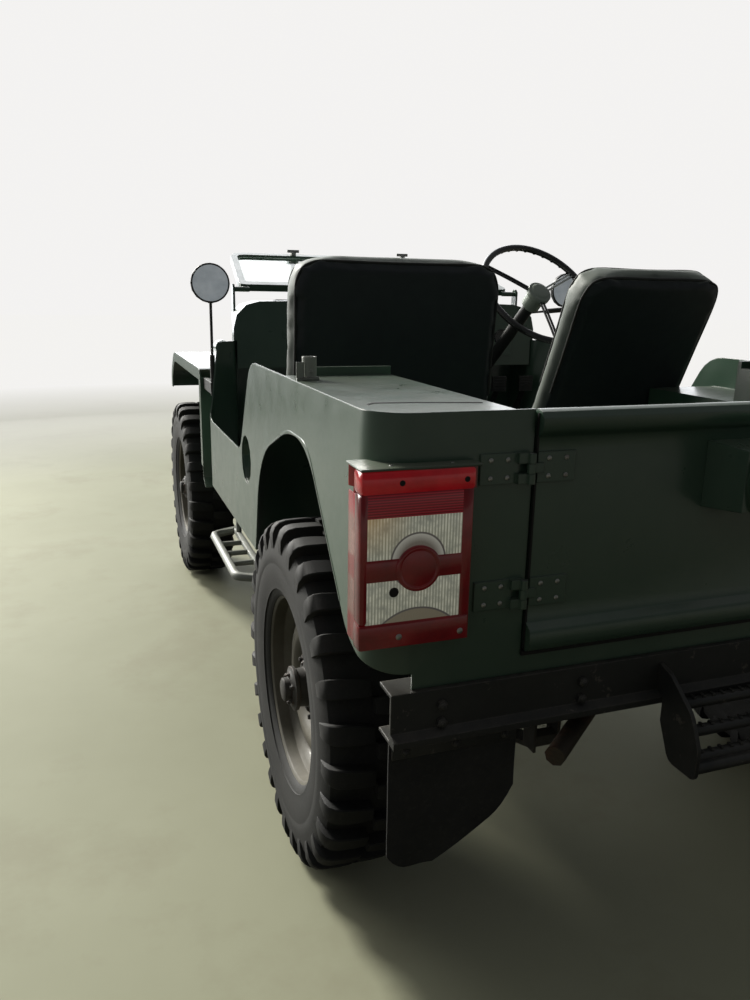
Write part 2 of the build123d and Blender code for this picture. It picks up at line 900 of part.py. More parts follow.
def tie_rod():
    y = front_axle_y + tie_arm_length
    x = kingpin_x - tie_arm_inset
    with BuildPart() as body:
        bar((-x, y, tie_rod_z), (x, y, tie_rod_z), rod_radius)
        for s in (1, -1):
            rod(
                (s * x, y, tie_rod_z - rod_end_radius + seat_gap),
                (s * x, y, tie_rod_z + rod_end_radius), rod_end_radius + 1,
            )
    return body


def drag_link():
    x = -kingpin_x + drag_arm_length
    rear_y = front_axle_y + drag_link_length
    with BuildPart() as body:
        bar((x, front_axle_y, drag_link_z), (x, rear_y, drag_link_z), rod_radius)
        rod(
            (x, front_axle_y, drag_link_z - rod_end_radius),
            (x, front_axle_y, drag_link_z + rod_end_radius + 1 - seat_gap), rod_end_radius,
        )
        bar(
            (x - rod_end_radius, rear_y, drag_link_z),
            (pitman_x - pitman_thickness / 2 - seat_gap, rear_y, drag_link_z), rod_end_radius,
        )
    return body


def pitman_arm():
    """Hangs from the steering box's cross shaft, and swings fore and aft."""
    y = front_axle_y + drag_link_length
    top = drag_link_z + drag_arm_length
    with BuildPart() as body:
        with BuildSketch(side_plane(pitman_x - pitman_thickness / 2)) as flat:
            with Locations((y, top)):
                Circle(20)
            with Locations((y, drag_link_z)):
                Circle(rod_end_radius)
            make_hull()
        extrude(flat.sketch, amount=pitman_thickness)
    return body


def steering_column():
    """Steering box on the right rail, its cross shaft, the column's fixed tube and its lever."""
    y = front_axle_y + drag_link_length
    top = drag_link_z + drag_arm_length
    foot = column_foot()
    along = (steering_wheel_centre - foot).normalized()
    with BuildPart() as body:
        extrude(
            outline(
                side_plane(-rail_outer_x + 8),
                [
                    (y - 60, rail_front_top_z), (y + 70, rail_front_top_z), (y + 70, top + 26),
                    (y + 50, top + 46), (y - 40, top + 40), (y - 60, top + 20),
                ],
            ),
            amount=72,
        )
        rod((-rail_outer_x + 8, y, top), (pitman_x + pitman_thickness / 2 + seat_gap, y, top), 15)
        head = steering_wheel_centre - along * (wheel_hub_depth + seat_gap)
        rod(foot, head, 22)
        # Signal lever below the wheel, with a thick grip
        start = head - along * lever_drop
        tip = start + Vector(-lever_length, 0, 14)
        bar(start, tip, 4)
        bar(start + (tip - start) * 0.55, tip, 9)
    return body


def steering_wheel():
    """Three-spoke wheel square to the column, with a wide hub and a stub shaft."""
    foot = column_foot()
    along = (steering_wheel_centre - foot).normalized()
    plane = Plane(origin=steering_wheel_centre, x_dir=(1, 0, 0), z_dir=along)
    big, thick = steering_wheel_radius, steering_rim_radius
    flank = 0.5 * thick
    with BuildPart() as body:
        turned(
            plane, [(-thick, big + flank), (0, big + thick), (thick, big + flank)], rim_sides
        )
        turned(
            plane, [(-thick, big - flank), (0, big - thick), (thick, big - flank)], rim_sides,
            Mode.SUBTRACT,
        )
        rod(steering_wheel_centre - along * wheel_hub_depth, steering_wheel_centre - along * 10, 34)
        turned(plane, [(-12, 44), (8, 44), (16, 30)], turned_sides)
        for angle in (90, 210, 330):
            direction = plane.x_dir * cos(radians(angle)) + plane.y_dir * sin(radians(angle))
            bar(steering_wheel_centre, steering_wheel_centre + direction * big, 8)
    return body


def lug_ring(u, crown, hollow, start):
    """The tread's section at a distance u from its middle: lugs with gaps between them."""
    step = 360 / lug_count
    points = []
    for k in range(lug_count):
        for side, order in ((-1, (hollow, crown)), (1, (crown, hollow))):
            angle = radians(start + step * (k + side * lug_share / 2))
            points += [(r * sin(angle), -r * cos(angle)) for r in order]
    return outline(Plane(origin=(u, 0, 0), x_dir=(0, 1, 0), z_dir=(1, 0, 0)), points)


def tyre():
    """One tyre about the X axis: two rows of tall lugs, half a pitch apart, over the bead's bore."""
    wide = tyre_half_width
    # The corners of the lugs nearest the ground touch it
    crown = tyre_radius / cos(radians(180 / lug_count * (1 - lug_share)))
    shoulder = crown - shoulder_drop
    axle = Plane(origin=(0, 0, 0), x_dir=(0, 1, 0), z_dir=(1, 0, 0))
    with BuildPart() as body:
        for row, start in ((1, 0), (-1, 180 / lug_count)):
            loft(
                [
                    lug_ring(0, crown, crown - lug_depth, start),
                    lug_ring(row * wide, shoulder, shoulder - lug_reach, start),
                ],
                ruled=True,
            )
        turned(
            axle,
            [
                (-wide - 1, bead_radius + bead_flare), (-bead_half_width, bead_radius),
                (bead_half_width, bead_radius), (wide + 1, bead_radius + bead_flare),
            ],
            rim_sides, Mode.SUBTRACT,
        )
    return body


def wheel():
    """One wheel about the X axis, outwards to +X: steel rim, dished disc, hub and drum."""
    axle = Plane(origin=(0, 0, 0), x_dir=(0, 1, 0), z_dir=(1, 0, 0))
    middle, wide, lip = wheel_centre_x, rim_half_width, rim_lip_radius - rim_seat_radius
    seat = rim_seat_radius
    with BuildPart() as body:
        turned(
            axle,
            [
                (middle - wide, seat + lip), (middle - wide + 12, seat), (middle + wide - 12, seat),
                (middle + wide, seat + lip),
            ],
            rim_sides,
        )
        turned(
            axle,
            [
                (middle - wide - 1, seat + lip - rim_wall), (middle - wide + 12, seat - rim_wall),
                (middle + wide - 12, seat - rim_wall), (middle + wide + 1, seat + lip - rim_wall),
            ],
            rim_sides, Mode.SUBTRACT,
        )
        # Dished disc, proud in a ring and sunk around the hub
        turned(
            axle,
            [(disc_face_x - 20, seat - 2), (disc_face_x + 18, 162), (disc_face_x + 22, 130)], rim_sides,
        )
        turned(
            axle, [(disc_face_x + 6, 106), (disc_face_x + 23, 132)], rim_sides, Mode.SUBTRACT
        )
        # Drum behind the disc, hub through both, and the spindle's bore
        turned(
            axle, [(drum_mouth_x, drum_radius), (disc_face_x - 19, drum_radius)], turned_sides
        )
        turned(
            axle, [(drum_mouth_x - 1, drum_radius - drum_wall),
                   (drum_mouth_x + 45, drum_radius - drum_wall)],
            turned_sides, Mode.SUBTRACT,
        )
        turned(axle, [(drum_mouth_x, hub_radius), (disc_face_x + 20, hub_radius)], turned_sides)
        turned(
            axle,
            [(disc_face_x + 18, 62), (disc_face_x + 44, 62), (disc_face_x + 48, 34), (hub_end_x, 30)],
            bar_sides,
        )
        rod(
            (drum_mouth_x - 1, 0, 0), (disc_face_x + 20, 0, 0), spindle_radius + running_gap,
            Mode.SUBTRACT,
        )
    return body


def screen_plane():
    """The folded windscreen's own plane: sketch y runs up the glass, and it faces up."""
    lean = radians(screen_tilt)
    up = Vector(0, -cos(lean), sin(lean))
    return Plane(
        origin=(0, screen_pivot_y, screen_pivot_z), x_dir=(-1, 0, 0), z_dir=Vector(-1, 0, 0).cross(up)
    )


def screen_outline():
    return [
        (-screen_half_width, 20), (screen_half_width, 20), (screen_half_width - 40, screen_length),
        (-screen_half_width + 40, screen_length),
    ]


def pane(plane, s, inset):
    """One of the two openings in the windscreen, on the side s."""
    edge = screen_half_width - 30
    return outline(
        plane,
        [
            (s * 12, 58), (s * edge, 58), (s * (edge - 34), screen_length - 30),
            (s * 12, screen_length - 30),
        ],
        [10, 10, 34, 10], inset, chords=2,
    )


def windscreen_frame():
    """Folding frame: a ring with a middle post, and a pivot arm at each foot."""
    plane = screen_plane()
    depth = 2 * screen_tube
    with BuildPart() as body:
        extrude(
            outline(
                plane.offset(-screen_tube), screen_outline(), [20, 20, 60, 60], chords=2
            ),
            amount=depth,
        )
        with BuildPart(mode=Mode.PRIVATE) as panes:
            for s in (1, -1):
                extrude(pane(plane.offset(-screen_tube - 1), s, 0), amount=depth + 2)
        add(panes.part, mode=Mode.SUBTRACT)
        for s in (1, -1):
            rod(
                plane.from_local_coords((s * (screen_half_width - 34), 0, 0)),
                plane.from_local_coords((s * (screen_half_width + pivot_pin_reach), 0, 0)),
                pivot_pin_radius,
            )
            near, far = s * (screen_half_width - 32), s * (screen_half_width - 10)
            extrude(
                outline(plane.offset(-7), [(near, 0), (far, 0), (far, 30), (near, 30)]), amount=14
            )
    return body


def windscreen_glass():
    plane = screen_plane()
    with BuildPart() as body:
        for s in (1, -1):
            extrude(pane(plane.offset(-2.5), s, 0.2), amount=5)
    return body


def hood_top_z(y):
    """Height of the hood's flat top at a given y."""
    rear_y = firewall_y - hood_gap
    front_y = grille_y + grille_depth + hood_gap
    share = (rear_y - y) / (rear_y - front_y)
    return cowl_top_z - 6 + share * (hood_front_z() - cowl_top_z + 6)


def screen_rests():
    """Two posts on the hood, each with a pad under the folded windscreen's top rail."""
    plane = screen_plane()
    reach = screen_length - 16
    with BuildPart() as body:
        for s in (1, -1):
            pad = plane.from_local_coords((s * 250, reach, -screen_tube - seat_gap - 14))
            low = plane.offset(-screen_tube - seat_gap - 14)
            extrude(
                outline(
                    low,
                    [
                        (s * 250 - 24, reach - 16), (s * 250 + 24, reach - 16),
                        (s * 250 + 24, reach + 16), (s * 250 - 24, reach + 16),
                    ],
                ),
                amount=14,
            )
            bar((pad.X, pad.Y, hood_top_z(pad.Y) + 1), (pad.X, pad.Y, pad.Z + 5), 11)
            bar((pad.X, pad.Y, hood_top_z(pad.Y) + 1), (pad.X, pad.Y, hood_top_z(pad.Y) + 7), 24)
    return body


def gate_barrel(level, lower, upper):
    rod((hinge_x, hinge_y(), level + lower), (hinge_x, hinge_y(), level + upper), hinge_radius)


def hinge_y():
    return tub_rear_y + 12


def tailgate():
    """Panel with a rolled top edge and a deep lower lip, side-hinged on its left."""
    inner_y = tub_rear_y - 8
    face_y = tub_rear_y + 4
    profile = [
        (inner_y, gate_bottom_z, 4), (face_y + 10, gate_bottom_z, 6),
        (face_y + gate_lip + 2, gate_bottom_z + 14, 8), (face_y + gate_lip + 2, gate_bottom_z + 40, 6),
        (face_y, gate_bottom_z + 50, 4), (face_y, tub_top_z - 44, 4),
        (face_y + gate_lip, tub_top_z - 36, 8), (face_y + gate_lip, tub_top_z - 6, 10),
        (face_y - 2, tub_top_z, 6), (inner_y, tub_top_z, 4),
    ]
    third = hinge_height / 3
    with BuildPart() as body:
        extrude(
            outline(
                side_plane(-gate_half_width), [(y, z) for y, z, r in profile],
                [r for y, z, r in profile], chords=1,
            ),
            amount=2 * gate_half_width,
        )
        for level in hinge_levels:
            block(
                gate_half_width - 70, gate_half_width, face_y, face_y + sheet,
                level, level + hinge_height,
            )
            block(
                gate_half_width - 10, hinge_x, face_y, hinge_y(),
                level + third + seat_gap, level + 2 * third - seat_gap,
            )
            gate_barrel(level, third + seat_gap, 2 * third - seat_gap)
        # Latch and its keep on the right edge
        block(-gate_half_width, -gate_half_width + 60, face_y, face_y + 10, 880, 915)
    return body


def wheel_carrier():
    """Bracket for the spare wheel, with its five studs bare."""
    face_y = tub_rear_y + 4 + seat_gap
    middle_z = 962
    flange_y = face_y + carrier_depth - 34
    with BuildPart() as body:
        with BuildSketch(cross_plane(face_y)) as base:
            with Locations((0, middle_z)):
                Rectangle(224, 118)
        with BuildSketch(cross_plane(flange_y)) as top:
            with Locations((0, middle_z)):
                Rectangle(190, 106)
        loft([base.sketch, top.sketch], ruled=True)
        bar(
            (0, flange_y, middle_z), (0, flange_y + 8, middle_z), stud_circle / 2 + 22, turned_sides
        )
        with BuildSketch(cross_plane(flange_y + 8)) as studs:
            with Locations((0, middle_z)):
                with PolarLocations(stud_circle / 2, stud_count, start_angle=90):
                    Circle(stud_radius)
        extrude(studs.sketch, amount=26)
    return body


def rear_bumper():
    """Channel across the frame's rear ends, with a lower lip."""
    face_y = tub_rear_y + 10
    top = bumper_rear_top_z - seat_gap
    low = bumper_rear_top_z - bumper_rear_height - 12
    profile = [
        (frame_rear_y, top), (face_y, top), (face_y, low + 20), (face_y + 16, low + 12),
        (face_y + 16, low), (frame_rear_y, low), (frame_rear_y, low + 6), (face_y - 6, low + 6),
        (face_y - 6, top - 6), (frame_rear_y, top - 6),
    ]
    with BuildPart() as body:
        extrude(outline(side_plane(-bumper_half_width), profile), amount=2 * bumper_half_width)
    return body


def mud_flaps():
    """Hanging flaps behind the rear wheels, with their lower inner corners cut off."""
    top = bumper_rear_top_z - bumper_rear_height - 12 - seat_gap
    y = tub_rear_y - 8
    with BuildPart() as body:
        for s in (1, -1):
            extrude(
                outline(
                    cross_plane(y),
                    [(s * 688, top), (s * 452, top), (s * 448, 410), (s * 560, 292), (s * 650, 288),
                     (s * 688, 330)],
                    [0, 0, 18, 24, 24, 18], chords=2,
                ),
                amount=8,
            )
    return body


def rear_step():
    """Foot-step behind the bumper: two curved side plates with round rungs between them."""
    face_y = tub_rear_y + 10 + seat_gap
    end_y = tub_rear_y + 128
    # Rung: y and z
    rungs = [(face_y + 32, 540), (face_y + 60, 500), (face_y + 90, 468), (end_y - 14, 456)]
    plate_points = [
        (face_y, 612, 0), (face_y + 30, 604, 20), (end_y - 26, 556, 40), (end_y, 500, 30),
        (end_y, 440, 10), (end_y - 70, 440, 20), (face_y + 17, 506, 10), (face_y + 17, 556, 0),
        (face_y, 564, 0),
    ]
    with BuildPart() as body:
        for x in (158, -166):
            extrude(
                outline(
                    side_plane(x), [(y, z) for y, z, r in plate_points],
                    [r for y, z, r in plate_points], chords=2,
                ),
                amount=8,
            )
        for y, z in rungs:
            bar((-160, y, z), (160, y, z), 11)
    return body


def side_steps():
    """Tubular steps below the door openings, hung from the floor's edge."""
    outer_x = tub_half_width + step_overhang
    inner_x = outer_x - step_width
    front_y, back_y = rear_axle_y - 1140, rear_axle_y - 610
    with BuildPart() as body:
        tube_path(
            [
                (inner_x, front_y, step_z), (outer_x, front_y + 40, step_z),
                (outer_x, back_y - 40, step_z), (inner_x, back_y, step_z),
            ],
            [0, 34, 34, 0], 14,
        )
        bar((inner_x, front_y - 12, step_z), (inner_x, back_y + 12, step_z), 12)
        for share in (0.3, 0.5, 0.7):
            y = front_y + share * (back_y - front_y)
            bar((inner_x, y, step_z), (outer_x, y, step_z), 9)
        for y in (front_y + 60, back_y - 60):
            bar((inner_x, y, step_z), (inner_x, y, sill_z - seat_gap), 10)
        mirror(about=Plane.YZ)
    return body


def tail_lamps():
    """Wrap-round lamp housings that follow the tub's rear corners, with a proud upper lip."""
    lip_z = lamp_bottom_z + lamp_height - lamp_lip
    with BuildPart() as body:
        extrude(tub_plan(lamp_bottom_z, -lamp_depth + 8), amount=lamp_height)
        extrude(tub_plan(lip_z, -lamp_depth), amount=lamp_lip)
        extrude(tub_plan(lamp_bottom_z, -seat_gap), amount=lamp_height, mode=Mode.SUBTRACT)
        with BuildPart(mode=Mode.PRIVATE) as keep:
            for s in (1, -1):
                block(
                    s * lamp_inner_x, s * 900, tub_rear_y - 42, tub_rear_y + 60,
                    lamp_bottom_z, lamp_bottom_z + lamp_height,
                )
        add(keep.part, mode=Mode.INTERSECT)
    return body


def front_bumper():
    top = rail_front_top_z - 4
    low = rail_front_top_z - rail_depth
    y = bumper_front_y
    profile = [
        (y, low), (frame_front_y, low), (frame_front_y, low + 6), (y + 6, low + 6),
        (y + 6, top - 6), (frame_front_y, top - 6), (frame_front_y, top), (y, top),
    ]
    with BuildPart() as body:
        extrude(
            outline(side_plane(-bumper_front_half_width), profile), amount=2 * bumper_front_half_width
        )
    return body


def fender_lamps():
    """Small side lamps on stems, near the fenders' rear ends."""
    with BuildPart() as body:
        for s in (1, -1):
            x, y, z = s * (fender_outer_x - 122), front_axle_y + 380, fender_top_z + seat_gap
            bar((x, y, z), (x, y, z + 40), 8)
            bar((x, y + 30, z + 62), (x, y - 34, z + 62), 30, turned_sides)
    return body


def mirrors():
    """Round mirrors on tall stalks beside the cowl, each on a bracket at the fender's rear drop."""
    y = rear_axle_y - 1235
    with BuildPart() as body:
        for s in (1, -1):
            x = s * (fender_outer_x - 22)
            block(x - 9, x + 9, fender_rear_y + seat_gap, y + 8, 905, 945)
            bar((x, y, 900), (x, y, 1040), 9)
            bar((x, y, 1030), (x, y + 2, 1240), 5)
            bar((x, y - 4, mirror_z), (x, y + 12, mirror_z), mirror_radius, rim_sides)
            bar((x, y, mirror_z - mirror_radius - 1), (x, y, mirror_z - mirror_radius + 22), 9)
    return body


def slab(plane, width, height, thickness, radii):
    """A seat pad with round corners, as short straight runs."""
    half = width / 2
    points = []
    for (x, y), radius, turn in zip(
        [(-half, 0), (half, 0), (half, height), (-half, height)], radii, (180, 270, 0, 90)
    ):
        centre = (x - radius if x > 0 else x + radius, y - radius if y > 0 else y + radius)
        for k in range(pad_bends + 1):
            angle = radians(turn + 90 * k / pad_bends)
            points.append((centre[0] + radius * cos(angle), centre[1] + radius * sin(angle)))
    extrude(outline(plane, points), amount=thickness)


# Front seats: middle x, width, y of the backrest's foot, its lean and its height
seats = {
    "passenger_seat": (330, 590, rear_axle_y - 417, 5, 500),
    "driver_seat": (-382, 478, rear_axle_y - 470, 24, 522),
}
cushion_length = 440
cushion_overlap = 60
cushion_thickness = 120
cushion_top_z = 850
back_thickness = 90


def seat(x, width, y, lean, height):
    """A backrest that stands on a cushion, as two soft pads."""
    tilt = radians(lean)
    z = cushion_top_z + seat_gap - (back_thickness - cushion_overlap) * tan(tilt)
    up = Vector(0, sin(tilt), cos(tilt))
    plane = Plane(origin=(x, y, z), x_dir=(-1, 0, 0), z_dir=Vector(-1, 0, 0).cross(up))
    with BuildPart() as body:
        slab(plane.offset(-back_thickness), width, height, back_thickness, [20, 20, 70, 70])
        front_y = y - back_thickness - cushion_length
        slab(
            Plane.XY.offset(cushion_top_z - cushion_thickness).move(Location((x, front_y, 0))),
            width - 10, cushion_length + cushion_overlap, cushion_thickness, [60, 60, 20, 20],
        )
    return body


def seat_frames():
    """Pressed boxes that carry the front seats on the floor."""
    low = front_floor_z + seat_gap
    top = cushion_top_z - cushion_thickness - seat_gap
    with BuildPart() as body:
        for x, width, y, lean, height in seats.values():
            half = width / 2 - 60
            front_y = y - back_thickness - cushion_length + 40
            points = [
                (x - half, front_y + 24), (x - half + 24, front_y), (x + half - 24, front_y),
                (x + half, front_y + 24), (x + half, y - 80), (x - half, y - 80),
            ]
            plane = Plane.XY.offset(low)
            extrude(outline(plane, points), amount=top - low)
            extrude(outline(plane, points, inset=sheet), amount=top - low - sheet, mode=Mode.SUBTRACT)
    return body


def rear_cushion():
    """Pad on the right wheelhouse deck."""
    with BuildPart() as body:
        block(
            -tub_half_width + 75, -wheelhouse_x, deck_front_y + 20, tub_rear_y - 200,
            tub_top_z + seat_gap, tub_top_z + 60,
        )
    return body


def engine_block():
    """The engine as one plain block at its real place and size, with the radiator ahead of it."""
    with BuildPart() as body:
        block(-150, 150, front_axle_y - 120, bell_y() - 2, 600, 1090)
        block(-110, 110, front_axle_y + 230, bell_y() - seat_gap, 470, 610)
        block(-270, 270, grille_y + 70, grille_y + 130, grille_bottom_z + 20, grille_top_z - 60)
    return body


def bell_y():
    """Front face of the bell housing."""
    return front_axle_y + 462


def gearbox():
    """Bell housing, gearbox and transfer case under the floor."""
    with BuildPart() as body:
        bell = Plane(origin=(0, bell_y(), 500), x_dir=(1, 0, 0), z_dir=(0, 1, 0))
        turned(bell, [(0, 94), (160, 76)], turned_sides)
        block(-70, 70, bell_y() + 150, bell_y() + 430, 415, 585)
        block(-220, 60, bell_y() + 420, bell_y() + 610, 375, 560)
    return body


def prop_shafts():
    """Front and rear shafts between the transfer case and the axles."""
    front = (diff_x, front_axle_y + pinion_reach + seat_gap, tyre_radius)
    rear = (diff_x, rear_axle_y - pinion_reach - seat_gap, tyre_radius)
    case_front = (diff_x, bell_y() + 420 - seat_gap, 440)
    case_rear = (diff_x, bell_y() + 610 + seat_gap, 440)
    with BuildPart() as body:
        for start, end, towards in ((front, case_front, 1), (rear, case_rear, -1)):
            bar(start, (start[0], start[1] + towards * 30, start[2]), 42)
            bar(end, (end[0], end[1] - towards * 30, end[2]), 42)
            bar(
                (start[0], start[1] + towards * 20, start[2]),
                (end[0], end[1] - towards * 20, end[2]), 24,
            )
    return body


def exhaust():
    """Pipe and silencer under the left floor, with the tail end behind the rear axle."""
    # Route of the pipe: x, y, z
    route = [
        (170, front_axle_y + 430, 560), (200, front_axle_y + 540, 470),
        (225, front_axle_y + 800, 418), (225, rear_axle_y - 340, 418),
        (225, rear_axle_y - 170, 486), (225, rear_axle_y + 424, 486),
        (390, rear_axle_y + 556, 478),
    ]
    with BuildPart() as body:
        tube_path(route, [0, 60, 60, 60, 80, 60, 0], 19)
        bar(
            (225, front_axle_y + 860, 418), (225, rear_axle_y - 440, 418), 60, turned_sides
        )
        # Hangers under two crossmembers
        block(213, 237, rear_axle_y - 575, rear_axle_y - 545, 470, rail_front_top_z - 80 - seat_gap)
        block(
            213, 237, kick_end_y + 5, kick_end_y + 35, 474,
            rail_rear_top_z - rail_depth / 2 - 35 - seat_gap,
        )
    return body


def fuel_tank():
    with BuildPart() as body:
        extrude(
            outline(
                side_plane(-rail_outer_x - 250),
                [(rear_axle_y - 900, sill_z - seat_gap), (rear_axle_y - 900, 440),
                 (rear_axle_y - 480, 440), (rear_axle_y - 480, sill_z - seat_gap)],
                [0, 40, 40, 0], chords=2,
            ),
            amount=240,
        )
    return body


def controls():
    """Pedals that stand up from the toe board, and levers on the floor."""
    with BuildPart() as body:
        for x in pedal_places:
            foot_y = firewall_y + 70
            pad_y = dash_y + 50
            # The arm's foot stands on the sloping board
            extrude(
                outline(
                    side_plane(x - 7),
                    [
                        (foot_y - 12, toe_board_z(foot_y - 12) + seat_gap),
                        (foot_y + 12, toe_board_z(foot_y + 12) + seat_gap),
                        (pad_y + 8, pedal_z), (pad_y - 8, pedal_z),
                    ],
                ),
                amount=14,
            )
            block(x - 30, x + 30, pad_y - 8, pad_y + 6, pedal_z - 30, pedal_z + 30)
        for x, y, top in ((20, -120, 930), (-60, -60, 800), (-110, -40, 790)):
            bar((x, y, front_floor_z + 5), (x, y + 60, top), 8)
            knob = Plane(origin=(x, y + 60, top), x_dir=(1, 0, 0), z_dir=(0, 0, 1))
            turned(knob, [(-18, 8), (0, 20), (18, 8)], bar_sides)
            bar((x, y, front_floor_z + seat_gap), (x, y, front_floor_z + 8), 40)
    return body


def toe_board_z(y):
    """Height of the sloping toe board's upper face at a given y."""
    share = (y - firewall_y - sheet) / (toe_board_foot_y - firewall_y - sheet)
    return toe_board_top_z + share * (front_floor_z - toe_board_top_z)


def bow_sockets():
    """Hood-bow sockets on the tub's top edge, each with a pierced bracket outside it."""
    with BuildPart() as body:
        for s in (1, -1):
            x, y = s * (tub_half_width - 35), rear_axle_y + 30
            block(
                x - 16, x + 16, y - 18, y + 18, tub_top_z + seat_gap, tub_top_z + 6
            )
            bar((x, y, tub_top_z + seat_gap), (x, y, tub_top_z + 46), 15.5, turned_sides)
            rod((x, y, tub_top_z + 6), (x, y, tub_top_z + 60), 11, Mode.SUBTRACT)
            block(x + s * 14, x + s * 30, y + 10, y + 13, tub_top_z + seat_gap, tub_top_z + 36)
            block(x - s * 4, x + s * 30, y + 10, y + 18, tub_top_z + seat_gap, tub_top_z + 4)
    return body


pieces = {
    "tub": tub, "filler": filler, "cowl": cowl, "hood": hood, "grille": grille, "headlamps": headlamps,
    "front_fenders": front_fenders, "fender_lamps": fender_lamps, "front_bumper": front_bumper,
    "rear_bumper": rear_bumper, "mud_flaps": mud_flaps, "rear_step": rear_step,
    "side_steps": side_steps, "tail_lamps": tail_lamps, "mirrors": mirrors,
    "seat_frames": seat_frames, "rear_cushion": rear_cushion, "controls": controls,
    "bow_sockets": bow_sockets, "screen_rests": screen_rests, "windscreen_frame": windscreen_frame,
    "windscreen_glass": windscreen_glass, "tailgate": tailgate, "wheel_carrier": wheel_carrier,
    "chassis_frame": chassis_frame, "leaf_springs": leaf_springs, "front_axle": front_axle,
    "rear_axle": rear_axle, "engine_block": engine_block, "gearbox": gearbox,
    "prop_shafts": prop_shafts, "exhaust": exhaust, "fuel_tank": fuel_tank,
    "steering_column": steering_column, "steering_wheel": steering_wheel,
    "pitman_arm": pitman_arm, "drag_link": drag_link, "tie_rod": tie_rod,
}
for name, make in pieces.items():
    finish(make(), name)
for name, values in seats.items():
    finish(seat(*values), name)
one_tyre, one_wheel = tyre().part, wheel().part
for side_name, s in (("left", 1), ("right", -1)):
    finish(knuckle(s), f"knuckle_{side_name}")
    for end_name, y in (("front", front_axle_y), ("rear", rear_axle_y)):
        for kind, made, x in (("tyre", one_tyre, wheel_centre_x), ("wheel", one_wheel, 0)):
            with BuildPart() as placed:
                add(made.moved(Location((x, y, tyre_radius))))
                if s < 0:
                    mirror(about=Plane.YZ, mode=Mode.REPLACE)
            finish(placed, f"{kind}_{end_name}_{side_name}")
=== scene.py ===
"""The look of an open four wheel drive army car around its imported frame, in metres."""

import json
import math
import random

import bmesh
import bpy
from mathutils import Matrix, Vector
from mathutils.bvhtree import BVHTree

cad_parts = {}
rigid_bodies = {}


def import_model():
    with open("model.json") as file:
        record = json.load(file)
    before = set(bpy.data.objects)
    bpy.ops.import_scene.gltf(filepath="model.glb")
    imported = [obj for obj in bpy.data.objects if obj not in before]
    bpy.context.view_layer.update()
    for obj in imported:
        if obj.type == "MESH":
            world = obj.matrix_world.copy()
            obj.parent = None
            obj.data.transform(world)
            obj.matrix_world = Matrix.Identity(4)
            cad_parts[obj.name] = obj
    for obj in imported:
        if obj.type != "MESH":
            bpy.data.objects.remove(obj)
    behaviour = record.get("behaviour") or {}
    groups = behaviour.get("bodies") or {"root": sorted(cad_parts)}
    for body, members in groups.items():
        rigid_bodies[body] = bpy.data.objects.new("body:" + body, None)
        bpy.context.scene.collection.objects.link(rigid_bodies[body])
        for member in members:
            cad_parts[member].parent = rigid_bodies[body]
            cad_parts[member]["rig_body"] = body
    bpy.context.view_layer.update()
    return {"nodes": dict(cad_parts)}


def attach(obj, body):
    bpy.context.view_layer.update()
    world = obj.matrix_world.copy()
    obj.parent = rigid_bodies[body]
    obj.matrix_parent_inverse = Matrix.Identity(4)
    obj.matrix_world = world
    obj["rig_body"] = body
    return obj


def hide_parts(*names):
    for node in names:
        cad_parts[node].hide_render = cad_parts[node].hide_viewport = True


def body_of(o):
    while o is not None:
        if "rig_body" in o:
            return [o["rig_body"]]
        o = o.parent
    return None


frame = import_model()
nodes = frame["nodes"]

# Camera, solved from the photograph's edges
CAMERA_PLACE = (1.1164, 2.6003, 1.2559)
CAMERA_YAW = -0.3451
CAMERA_PITCH = 0.2511
CAMERA_ROLL = 0.0177
CAMERA_LENS = 28.93
CAMERA_SENSOR = 36.0

# Colours, as linear red, green and blue
GREEN = (0.034, 0.08, 0.05)
GREEN_WORN = (0.062, 0.112, 0.074)
GREEN_DEEP = (0.02, 0.044, 0.03)
RUST = (0.11, 0.048, 0.022)
STEEL = (0.3, 0.3, 0.28)
DUST = (0.23, 0.21, 0.17)
WARM_LIGHT = (1.0, 0.97, 0.9)

# The car's sides and directions: its front lies towards negative Y
SIDES = {1: "left", -1: "right"}
UP = (0, 0, 1)
BACK = (0, 1, 0)
AHEAD = (0, -1, 0)

AXLES = {"front": -1.056, "rear": 0.976}
AXLE_HEIGHT = 0.385
TYRE_MIDDLE = 0.655
HINGE_HEIGHTS = (0.992, 0.78)


def mm(*rows):
    """Rows of sizes in millimetres, in metres."""
    return [tuple(size / 1000 for size in row) for row in rows]


def given(thing, **settings):
    """The thing, once it has these settings."""
    for key, value in settings.items():
        setattr(thing, key, value)
    return thing


class Tree:
    """The shader nodes of a material or a world, with short calls for those in use here."""

    def __init__(self, owner):
        owner.use_nodes = True
        self.tree = owner.node_tree
        self.tree.nodes.clear()

    def add(self, kind, inputs=None, **settings):
        node = given(self.tree.nodes.new("ShaderNode" + kind), **settings)
        for key, value in (inputs or {}).items():
            self.feed(node.inputs[key], value)
        return node

    def feed(self, socket, value):
        """Links a socket to another one, or gives it a value of its own."""
        if isinstance(value, bpy.types.NodeSocket):
            self.tree.links.new(value, socket)
        elif socket.type == "RGBA" and len(value) == 3:
            socket.default_value = (*value, 1.0)
        else:
            socket.default_value = value

    def ramp(self, value, low, high, start=0.0, end=1.0):
        """The value's stretch from low to high, as start to end."""
        return self.add("MapRange", {"Value": value, "From Min": low, "From Max": high,
                                     "To Min": start, "To Max": end}).outputs["Result"]

    def math(self, operation, a, b=0.0, clamp=True):
        return self.add("Math", {0: a, 1: b}, operation=operation, use_clamp=clamp).outputs[0]

    def times(self, a, b):
        return self.math("MULTIPLY", a, b)

    def part(self, vector, axis):
        return self.add("SeparateXYZ", {0: vector}).outputs[axis]


